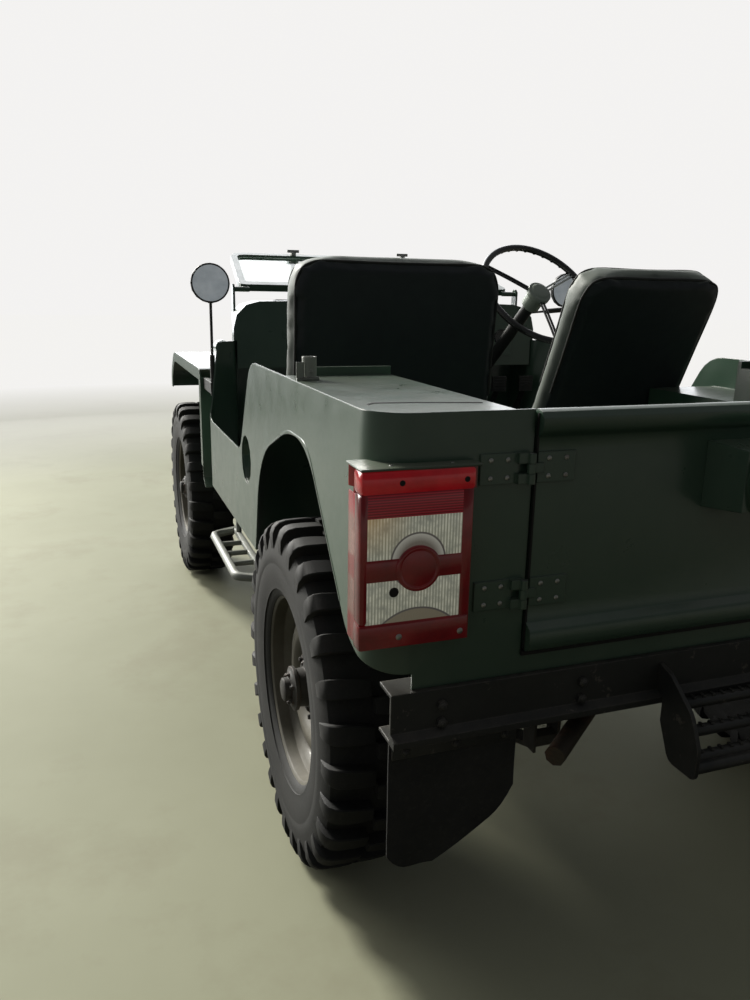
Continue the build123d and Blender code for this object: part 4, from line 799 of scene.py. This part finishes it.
def seat(who):
    """A front seat's pads, with piping along both edges of the back's side band."""
    middle, width, lean = SEATS[who]
    tilt = math.radians(lean)
    up = Vector((0, math.sin(tilt), math.cos(tilt)))
    rear = Vector((0, math.cos(tilt), -math.sin(tilt)))
    node = who + "_seat"
    finish = seat_finish("vinyl_" + who, rear)
    low, high = loose_parts(node)
    padding(who + "_cushion", low, 0.01, 0.0075, 5.0, 0.014, finish)
    mesh = padding(who + "_back", high, 0.006, 0.006, 3.0, 0.0085, finish, (node,)).data
    surface = surface_of(mesh)
    top = max(vert.co.dot(up) for vert in mesh.vertices)
    depths = [vert.co.dot(rear) for vert in mesh.vertices]
    piping = Form()
    for depth in (max(depths) - PIPING_INSET, min(depths) + PIPING_INSET):
        seam = []
        for x, z in piping_path(width / 2 - 0.003, top):
            place = up * (z + PIPING_STEP) + rear * depth
            place.x += middle + x + math.copysign(PIPING_STEP, x)
            at = surface.find_nearest(place)[0]
            if not seam or (at - seam[-1]).length > PIPING_STEP:
                seam.append(at)
        for _ in range(3):
            inner = [(a + b + c) / 3 for a, b, c in zip(seam, seam[1:], seam[2:])]
            seam = seam[:1] + inner + seam[-1:]
        piping.tube(seam, PIPING_RADIUS, 0.0, 10)
    piping.done(who + "_piping", "piping")


# Tail lamp on the left: piece, finish, slot, and blocks as x, y and z from and to, and edge
LAMP_PLATES = (
    ("lamp_red", "lamp_lip", "lamp_red", mm((566, 752, 1488, 1528, 969, 1005.5, 6))),
    ("lamp_strip", "lamp_strip", "lamp_red", mm((580, 749.5, 1505, 1519, 931, 968, 1))),
    ("lamp_band", "lamp_dark", "lamp_red", mm(
        (566, 751.5, 1490, 1521, 719.5, 763, 5), (566, 583, 1505, 1520, 760, 972, 2),
        (581, 749.5, 1505, 1520, 831, 866, 1.2), (737, 751.2, 1490, 1521.2, 762, 970, 6))),
    ("lamp_windows", "lamp_clear_{}", "lamp_glass", mm(
        (582, 740, 1505, 1518.6, 865, 932, 0.8), (582, 740, 1505, 1518.6, 762, 832, 0.8))),
    ("lamp_wrap", "lamp_pale", "lamp_red", mm((748.5, 750, 1460, 1516.5, 726, 966, 0.7))),
    ("lamp_ledge", "green_pale", "body_green", mm((556, 752.5, 1452, 1528.5, 1005.2, 1009.2, 1.5))),
)
ROUNDEL = mm((0, 37), (3.8, 37), (5, 35.5), (5, 30), (4.2, 29), (6, 18), (6.6, 0))


def tail_lamp(side):
    """A moulded tail lamp: screwed red lip, reflector strip, two clear windows and a roundel."""
    tag = SIDES[side]
    for piece, finish, slot, blocks in LAMP_PLATES:
        form = Form()
        for row in blocks:
            form.plate(side, *row)
        if piece == "lamp_band":
            form.turned(on(side, LAMP_MIDDLE, 1.518, 0.848), BACK, ROUNDEL, 56)
        form.done(f"{piece}_{tag}", finish.format(tag), slot=slot)
    silver = Form()
    for x, z in ((0.685, 0.738), (0.58, 0.735)):
        silver.screw(on(side, x, 1.5203, z), BACK, 0.0052, 0.0022)
    for x in (0.6, 0.7):
        silver.screw(on(side, x, 1.51, 1.009), UP, 0.0034, 0.0016)
    silver.done("lamp_screws_" + tag, "screw")
    # Dark discs for the holes: painted shade where the holes are
    hole_shade = Form()
    for x in (0.582, 0.688):
        hole_shade.turned(on(side, x, 1.5272, 0.986), BACK, [(0, 0.0046), (0.0011, 0.0046)], 16)
    hole_shade.turned(on(side, 0.694, 1.518, 0.812), BACK, [(0, 0.008), (0.0009, 0.008)], 20)
    hole_shade.done("lamp_hole_shade_" + tag, "dark")


# Seam across a rear deck, and its section
DECK_SEAM = mm((700, 1398, 1085), (684, 1380, 1085), (616, 1388, 1085), (505, 1412, 1085))
SEAM_SECTION = mm((-4.8, -0.4), (4.8, -0.4), (4, 0.9), (-4, 0.9))
# Dark blocks in the gap round the tailgate, painted shade where light would show through, as the
# lamp's blocks
GATE_SHADE_BLOCKS = mm(
    (-449.5, -446.5, 1502, 1504, 676, 1079, 0), (446.5, 450, 1499, 1502.7, 676, 1079, 0),
    (-453.5, 453.5, 1492.5, 1504, 665.5, 673.2, 0), (444, 470, 1483.5, 1489.3, 670, 1080, 0),
    (-470, -444, 1483.5, 1489.3, 670, 1080, 0))


def body_trim():
    """Rivets, screws, seams and strips of the tub, the tailgate, the bumper and the hood, with dark
    blocks of painted shade in the tailgate's gap.
    """
    for node, name, columns, body in (
            ("tub", "hinge_rivets_tub", (0.5, 0.53), "root"),
            ("tailgate", "hinge_rivets_gate", (0.396, 0.428), "tailgate")):
        rivets = Form()
        for z in HINGE_HEIGHTS:
            for x, dz in ((x, dz) for x in columns for dz in (-0.0145, 0.0145)):
                rivets.screw(*touched(node, (x, 1.6, z + dz), AHEAD), 0.0042, 0.002)
            if node == "tailgate":
                for dz in (-0.0252, 0.024):
                    rivets.turned((0.462, 1.51, z + dz), UP, [(0, 0.0052), (0.0012, 0.0052)], 16)
        rivets.done(name, "screw", body)
    for side, tag in SIDES.items():
        seam = Form().skin([[on(side, x, y + dy, z + dz) for dy, dz in SEAM_SECTION]
                            for x, y, z in DECK_SEAM])
        seam.done("deck_seam_" + tag, "dark")
    # Dark blocks of painted shade in the gap round the tailgate
    shade_blocks = Form()
    for row in GATE_SHADE_BLOCKS:
        shade_blocks.plate(1, *row)
    shade_blocks.done("gate_painted_shade", "dark")
    latch = Form().block((-0.47, 1.502, 0.872), (-0.382, 1.507, 0.926), 0.0012)
    for z in (0.88, 0.918):
        latch.screw((-0.462, 1.5068, z), BACK, 0.0035, 0.0018)
    latch.done("latch_plate", "bumper_black")
    bolts = Form()
    for x, z in ((x, z) for x in (-0.6, -0.33, 0.33, 0.6) for z in (0.569, 0.601)):
        bolts.nut(*touched("rear_bumper", (x, 1.7, z), AHEAD), 0.0095, 0.0075)
    bolts.done("bumper_nuts", "bumper_black", sharp=30)
    hood = Form()
    for side, y in ((side, y) for side in SIDES for y in (-0.72, -1.18)):
        at, _ = touched("hood", (side * 0.9, y, 1.13), (-side, 0, 0))
        hood.block((at.x - 0.006, y - 0.016, 1.098), (at.x + 0.006, y + 0.016, 1.16), 0.002)
        hood.rod(at + Vector((side * 0.009, -0.006, -0.012)),
                 at + Vector((side * 0.009, 0.006, -0.012)), 0.005)
    hood.done("hood_latches", "bumper_black")


def filleted(points, radii):
    """A line in a plane whose corners are round."""
    chords = 12
    points = [Vector(point) for point in points]
    made = points[:1]
    for a, b, c, radius in zip(points, points[1:], points[2:], radii):
        back, ahead = (a - b).normalized(), (c - b).normalized()
        half = back.angle(ahead) / 2
        reach = radius / math.tan(half)
        centre = b + (back + ahead).normalized() * (radius / math.sin(half))
        start, end = b + back * reach - centre, b + ahead * reach - centre
        sweep = math.pi - 2 * half
        for share in (k / chords for k in range(chords + 1)):
            made.append(centre + (start * math.sin((1 - share) * sweep)
                                  + end * math.sin(share * sweep)) / math.sin(sweep))
    return made + points[-1:]


# Rear wheel arch: (distance from the axle, height) of its corners, and how round they are, as
# the car shows it and as the sheet is cut
ARCH = mm((-388, 594.5), (-318, 866), (-20, 972), (140, 972), (360, 733.4))
ARCH_ROUND = (0.25, 0.4, 0.19)
ARCH_CUT = (0.12, 0.2, 0.12)
ARCH_OVERLAP = 0.0045
ARCH_FACES = (0.7228, 0.7258)


def arch_edge(side):
    """The smooth turned edge of the rear wheel arch."""
    inner = filleted(ARCH, ARCH_ROUND)
    outer = filleted(ARCH, ARCH_CUT)
    inside, outside = ARCH_FACES
    rings = []
    for before, near, cut, after in zip(outer[:1] + outer, inner, outer, outer[1:] + outer[-1:]):
        run = (after - before).normalized()
        far = cut + Vector((-run.y, run.x)) * ARCH_OVERLAP
        rings.append([on(side, x, AXLES["rear"] + y, z) for x, (y, z) in
                      ((inside, near), (outside, near), (outside, far), (inside, far))])
    Form().skin(rings).done("arch_edge_" + SIDES[side], "body_green", slot="body_green")


# Mud flap: its edges, thickness, wave and the number of its faces
FLAP_INNER = 0.4485
FLAP_WIDTH = 0.239
FLAP_TOP = 0.5395
FLAP_HEIGHT = 0.25
FLAP_FRONT = 1.4925
FLAP_THICKNESS = 0.004
FLAP_WAVE = 0.0055
FLAP_COLUMNS = 22
FLAP_ROWS = 24


def flap(side):
    """A mud flap: a thin rubber sheet with a soft wave, held by a bolted strip."""
    form = Form()
    random.seed(7 if side > 0 else 11)
    waves = [(random.uniform(9, 26), random.uniform(4, 16), random.uniform(0, 6.3))
             for _ in range(5)]

    def corner(face, i, j):
        u, v = i / FLAP_COLUMNS, j / FLAP_ROWS
        x = FLAP_INNER + FLAP_WIDTH * u
        z = FLAP_TOP - FLAP_HEIGHT * v
        # The lower corners are cut to a curve
        z += 0.03 * (max(0.0, abs(u - 0.5) * 2 - 0.62) / 0.38) ** 2.2 * v ** 3
        # The inner lower corner is cut away
        z += max(0.0, 0.6 - x) * 0.62 * v ** 1.5
        bulge = sum(math.sin(a * x * 3 + b * z * 3 + c) for a, b, c in waves) / 5
        return on(side, x, FLAP_FRONT + face * FLAP_THICKNESS + FLAP_WAVE * bulge * v ** 0.7, z)

    front, back = [[[form.mesh.verts.new(corner(face, i, j)) for i in range(FLAP_COLUMNS + 1)]
                    for j in range(FLAP_ROWS + 1)] for face in (0, 1)]
    for grid in (front, back):
        for a, b in zip(grid, grid[1:]):
            form.strip(a, b)
    for end in (0, -1):
        form.strip(front[end], back[end])
        form.strip([row[end] for row in front], [row[end] for row in back])
    tag = SIDES[side]
    form.done("flap_" + tag, "flap_rubber", slot="flap_rubber", sharp=60,
              replaces=("mud_flaps",) if side > 0 else ())
    strip = Form().plate(side, 0.452, 0.684, 1.4985, 1.5025, 0.508, 0.534, 0.0008)
    for x in (0.475, 0.568, 0.66):
        strip.nut((side * x, 1.5023, 0.521), BACK, 0.0075, 0.005)
    strip.done("flap_strip_" + tag, "bumper_black")


# Steering wheel: its middle, axis and rim, and the finish of the spoke at each angle
STEER_CENTRE = Vector((-0.412, 0.026, 1.268))
STEER_AXIS = Vector((-0.0778, 0.7394, 0.6687)).normalized()
STEER_RADIUS = 0.214
STEER_GRIPS = 36
STEER_SPOKES = {90: "gloss_black", 210: "spoke_grey", 330: "gloss_black"}
STEER_HUB = mm(
    (-66, 0), (-66, 30), (-62, 34), (-14, 34), (-12, 42), (-9, 44), (5, 44), (8, 42), (10, 34),
    (13.5, 31), (15.5, 24), (16, 0))


def steering_wheel():
    """A thin black rim on three spokes of two rods, with a deep pale hub and a round cap."""
    axis = STEER_AXIS
    level = (Vector((1, 0, 0)) - axis * axis.x).normalized()
    rise = axis.cross(level)

    def reach(radius, degrees, along=0.0):
        t = math.radians(degrees)
        return STEER_CENTRE + radius * (math.cos(t) * level + math.sin(t) * rise) + axis * along

    rim = Form().hoop(STEER_CENTRE, axis, STEER_RADIUS, 0.0115, 96)
    # Finger grips under the rim
    for k in range(STEER_GRIPS):
        place = reach(0.2125, 360 / STEER_GRIPS * (k + 0.5), -0.0055)
        out = place - STEER_CENTRE
        rim.turned(place - out.normalized() * 0.003, out,
                   [(-0.004, 0.0058), (0.0, 0.0078), (0.004, 0.0058)], 8)
    rim.done("wheel_rim_round", "gloss_black", "steering_wheel", "control_black", 60,
             ("steering_wheel",))
    for degrees, finish in STEER_SPOKES.items():
        rods = Form()
        for apart in (-3.0, 3.0):
            rods.tube([reach(0.03, degrees + 4 * apart, -0.004), reach(0.12, degrees + apart),
                       reach(0.208, degrees + 0.55 * apart)], 0.004, 0.05, 12)
        rods.done(f"wheel_spoke_{degrees}", finish, "steering_wheel", "control_black")
    hub = Form().turned(STEER_CENTRE, axis, STEER_HUB, 48)
    hub.done("wheel_hub", "hub_pale", "steering_wheel", "control_black", 35)


# Mirror: (distance back, radius)
MIRROR_FACE = mm((7, 60), (9, 60), (9.2, 0))
MIRROR_SHELL = mm(
    (-8, 0), (-8.5, 40), (-7, 56), (0, 64.5), (6, 66), (8.8, 65), (8.8, 60.5), (7.5, 60), (7, 0))


def mirrors():
    """The round mirrors: a flat pale face that glows as a painted reflection, in a shallow black
    shell.
    """
    for side, tag in SIDES.items():
        centre = on(side, 0.7, -0.255, 1.282)
        Form().turned(centre, BACK, MIRROR_FACE, 56).done("mirror_glass_" + tag, "mirror")
        Form().turned(centre, BACK, MIRROR_SHELL, 56).done(
            "mirror_shell_" + tag, "bumper_black", slot="bumper_black", sharp=35)


# Headlamp: (distance ahead, radius)
LAMP_SHELL = mm(
    (-68, 60), (-50, 78), (-10, 88), (10, 96), (18, 96.5), (21.5, 93), (21.5, 88), (16, 85),
    (10, 85), (-30, 60), (-50, 30), (-55, 0), (-68, 0))
LAMP_BOWL = mm((10.5, 84.5), (-4, 78), (-22, 62), (-36, 40), (-43, 15), (-43, 0))
LAMP_BULB = mm((-43, 0), (-43, 12), (-14, 12), (-8, 8), (-6, 0))
LAMP_LENS = mm(
    (12, 84.5), (16, 80), (20, 60), (21.8, 30), (22.2, 0), (19.2, 0), (18.8, 30), (17, 60),
    (13, 79), (9, 84.5))


def front_lamps():
    """Round headlamps, as a painted shell, a bright bowl and a lens, and the fenders' lamps."""
    for side, tag in SIDES.items():
        centre = on(side, 0.262, -1.356, 0.93)
        Form().turned(centre, AHEAD, LAMP_SHELL, 64).done(
            "headlamp_shell_" + tag, "body_green", slot="body_green", sharp=30,
            replaces=("headlamps",) if side > 0 else ())
        bowl = Form().turned(centre, AHEAD, LAMP_BOWL, 64).turned(centre, AHEAD, LAMP_BULB, 24)
        bowl.done("headlamp_bowl_" + tag, "chrome")
        Form().turned(centre, AHEAD, LAMP_LENS, 64).done(
            "headlamp_lens_" + tag, "lamp_glass", slot="lamp_glass", sharp=60)
        eye = Form().turned(on(side, 0.6, -0.7095, 1.038), AHEAD,
                            [(-0.002, 0.026), (0.0, 0.026)], 32)
        eye.done("fender_lamp_eye_" + tag, "lamp_amber")


def small_trim():
    """Pins of the bows, treads, gauges, pedal ribs, wing nuts and the filler's screws."""
    pins = Form()
    for side in SIDES:
        pins.rod(on(side, 0.69, 0.9885, 1.104), on(side, 0.69, 1.024, 1.104), 0.0036)
        pins.hoop(on(side, 0.69, 1.006, 1.129), UP, 0.0128, 0.0018, 32)
    pins.done("bow_pins", "screw")
    treads = Form()
    for y, z in ((1.54, 0.54), (1.568, 0.5), (1.598, 0.468)):
        for x in (-0.132 + 0.022 * k for k in range(13)):
            treads.block((x - 0.003, y - 0.006, z + 0.0085), (x + 0.003, y + 0.006, z + 0.0135),
                         0.0008)
    treads.done("rear_step_treads", "bumper_black")
    gauges = Form()
    for x, z, radius in ((-0.458, 1.098, 0.03), (-0.37, 1.098, 0.03), (-0.412, 1.048, 0.016)):
        gauges.turned((x, -0.3245, z), BACK, [
            (0, radius), (0.003, radius), (0.0045, radius - 0.003), (0.0025, radius - 0.005),
            (0.0025, 0.0)], 40)
    gauges.done("dash_gauges", "gloss_black")
    ribs = Form()
    for x, k in ((x, k) for x in (-0.3, -0.44, -0.56) for k in range(5)):
        z = 0.893 + 0.011 * k
        ribs.block((x - 0.026, -0.2785, z), (x + 0.026, -0.2755, z + 0.005), 0.0008)
    ribs.done("pedal_ribs", "piping")
    clamps = Form()
    for side in SIDES:
        at, facing = touched("windscreen_frame", (side * 0.25, -0.9, 1.6), (0, 0, -1))
        clamps.nut(at, facing, 0.012, 0.01)
        clamps.block(at - Vector((0.026, 0.0025, -0.008)), at + Vector((0.026, 0.0025, 0.02)),
                     0.0012)
    clamps.done("screen_wing_nuts", "screw", "windscreen")
    cap = Form()
    for t in turns(8):
        cap.screw((0.7205, 0.476 + 0.072 * math.sin(t), 0.816 + 0.072 * math.cos(t)), (1, 0, 0),
                  0.0032, 0.0015)
    cap.done("filler_screws", "screw")


# Nodes that pieces of their own stand for, and the windscreen's glass, which is kept as it is
REBUILT = {"steering_wheel", "headlamps", "mud_flaps", "driver_seat", "passenger_seat",
           "rear_cushion", "windscreen_glass"}


def make_pieces():
    for side, tag in SIDES.items():
        for end, axle_y in AXLES.items():
            hub = Vector((side * TYRE_MIDDLE, axle_y, AXLE_HEIGHT))
            tyre(f"{end}_{tag}", side, hub)
            wheel(f"{end}_{tag}", side, hub)
        tail_lamp(side)
        arch_edge(side)
        flap(side)
    body_trim()
    steering_wheel()
    mirrors()
    front_lamps()
    small_trim()
    for who in SEATS:
        seat(who)
    padding("rear_pad", loose_parts("rear_cushion")[0], 0.006, 0.006, 3.0, 0.008,
            FINISH["seat_vinyl"], ("rear_cushion",))
    for name in nodes:
        if name not in REBUILT and not name.startswith(("tyre_", "wheel_front", "wheel_rear")):
            smooth_copy(name, 31 if SLOT_OF[name] == "body_green" else 50)


def make_camera():
    data = bpy.data.cameras.new("camera")
    camera = placed("camera", given(data, lens=CAMERA_LENS, sensor_width=CAMERA_SENSOR))
    camera.matrix_world = (Matrix.Translation(CAMERA_PLACE)
                           @ Matrix.Rotation(math.pi + CAMERA_YAW, 4, "Z")
                           @ Matrix.Rotation(math.pi / 2 - CAMERA_PITCH, 4, "X")
                           @ Matrix.Rotation(CAMERA_ROLL, 4, "Z"))
    bpy.context.scene.camera = camera


FLOOR_REACH = 40.0
FLOOR_FADE = (3.4, 9.0)


def make_floor():
    """A pale floor that takes the shadow, and reads as a plain backdrop far away."""
    mesh = bpy.data.meshes.new("floor")
    mesh.from_pydata([(FLOOR_REACH * x, FLOOR_REACH * y, 0) for x, y in
                      ((-1, -1), (1, -1), (1, 1), (-1, 1))], [], [(0, 1, 2, 3)])
    floor = placed("floor", mesh)
    made = Shader("floor_pale")
    far = made.ramp(made.length(made.place), *FLOOR_FADE)
    pale = made.mix(made.ramp(made.noise(0.8, 5), 0.3, 0.7),
                    (0.3, 0.305, 0.205), (0.36, 0.365, 0.255))
    stain = made.ramp(made.noise(1.7, 6, 0.65), 0.52, 0.66, 0.0, 0.35)
    pale = made.mix(far, made.mix(stain, pale, (0.25, 0.235, 0.155)), (0.0, 0.0, 0.0))
    # The floor throws little light on the car's rear, as indoors
    rays = made.add("LightPath").outputs
    seen = made.math("MAXIMUM", rays["Is Camera Ray"], rays["Is Transmission Ray"])
    seen = made.math("MAXIMUM", seen, made.times(rays["Is Glossy Ray"], 0.2))
    made.set(Base_Color=made.mix(seen, (0.045, 0.045, 0.032), pale), Roughness=0.7)
    made.set(Emission_Color=(0.9, 0.89, 0.87), Emission_Strength=made.times(far, seen),
             Specular_IOR_Level=made.ramp(far, 0.0, 0.5, 0.25, 0.0))
    mesh.materials.append(made.material)


# Light from the door ahead, the ceiling, the left side, the right wall and the ground: axis,
# where it starts and where it is full, strength
WORLD_LIGHTS = (("Y", -0.5, -0.95, 3.0), ("Z", 0.25, 0.95, 0.11), ("X", 0.3, 0.95, 0.16),
                ("X", -0.3, -0.95, 0.07), ("Z", -1.0, -0.9, 0.05))
WORLD_SEEN = (0.9, 0.89, 0.88)
WORLD_LIGHT = (0.96, 0.98, 1.0)


def make_world():
    """Soft light from all round, brighter from ahead of the car, in front of a plain white."""
    world = bpy.data.worlds.new("studio")
    bpy.context.scene.world = world
    made = Tree(world)
    where = made.add("TexCoord").outputs["Generated"]
    total = 0.0
    for axis, low, high, strength in WORLD_LIGHTS:
        share = made.ramp(made.part(where, axis), low, high, 0.0, strength)
        total = made.math("ADD", total, share, clamp=False)
    lit = made.add("Background", {"Color": WORLD_LIGHT, "Strength": total})
    seen = made.add("Background", {"Color": WORLD_SEEN})
    rays = made.add("LightPath").outputs
    direct = made.math("MAXIMUM", rays["Is Camera Ray"], rays["Is Transmission Ray"])
    pick = made.add("MixShader", {0: direct, 1: lit.outputs[0], 2: seen.outputs[0]})
    made.add("OutputWorld", {"Surface": pick.outputs[0]})


def make_light(name, kind, place, target, power, **settings):
    """A warm light that shines from a place towards a target."""
    data = given(bpy.data.lights.new(name, kind), energy=power, color=WARM_LIGHT, **settings)
    lamp = placed(name, data)
    lamp.location = place
    lamp.rotation_euler = (Vector(target) - Vector(place)).to_track_quat("-Z", "Y").to_euler()


bpy.context.scene.view_settings.view_transform = "Standard"
make_camera()
make_floor()
make_world()
make_light("daylight", "SUN", (0.42, -1.0, 0.62), (0, 0, 0), 4.2, angle=math.radians(14))
make_light("left", "AREA", (3.6, -2.6, 1.6), (0.7, 0.6, 0.7), 60, shape="DISK", size=2.2)
make_pieces()
dress_nodes()
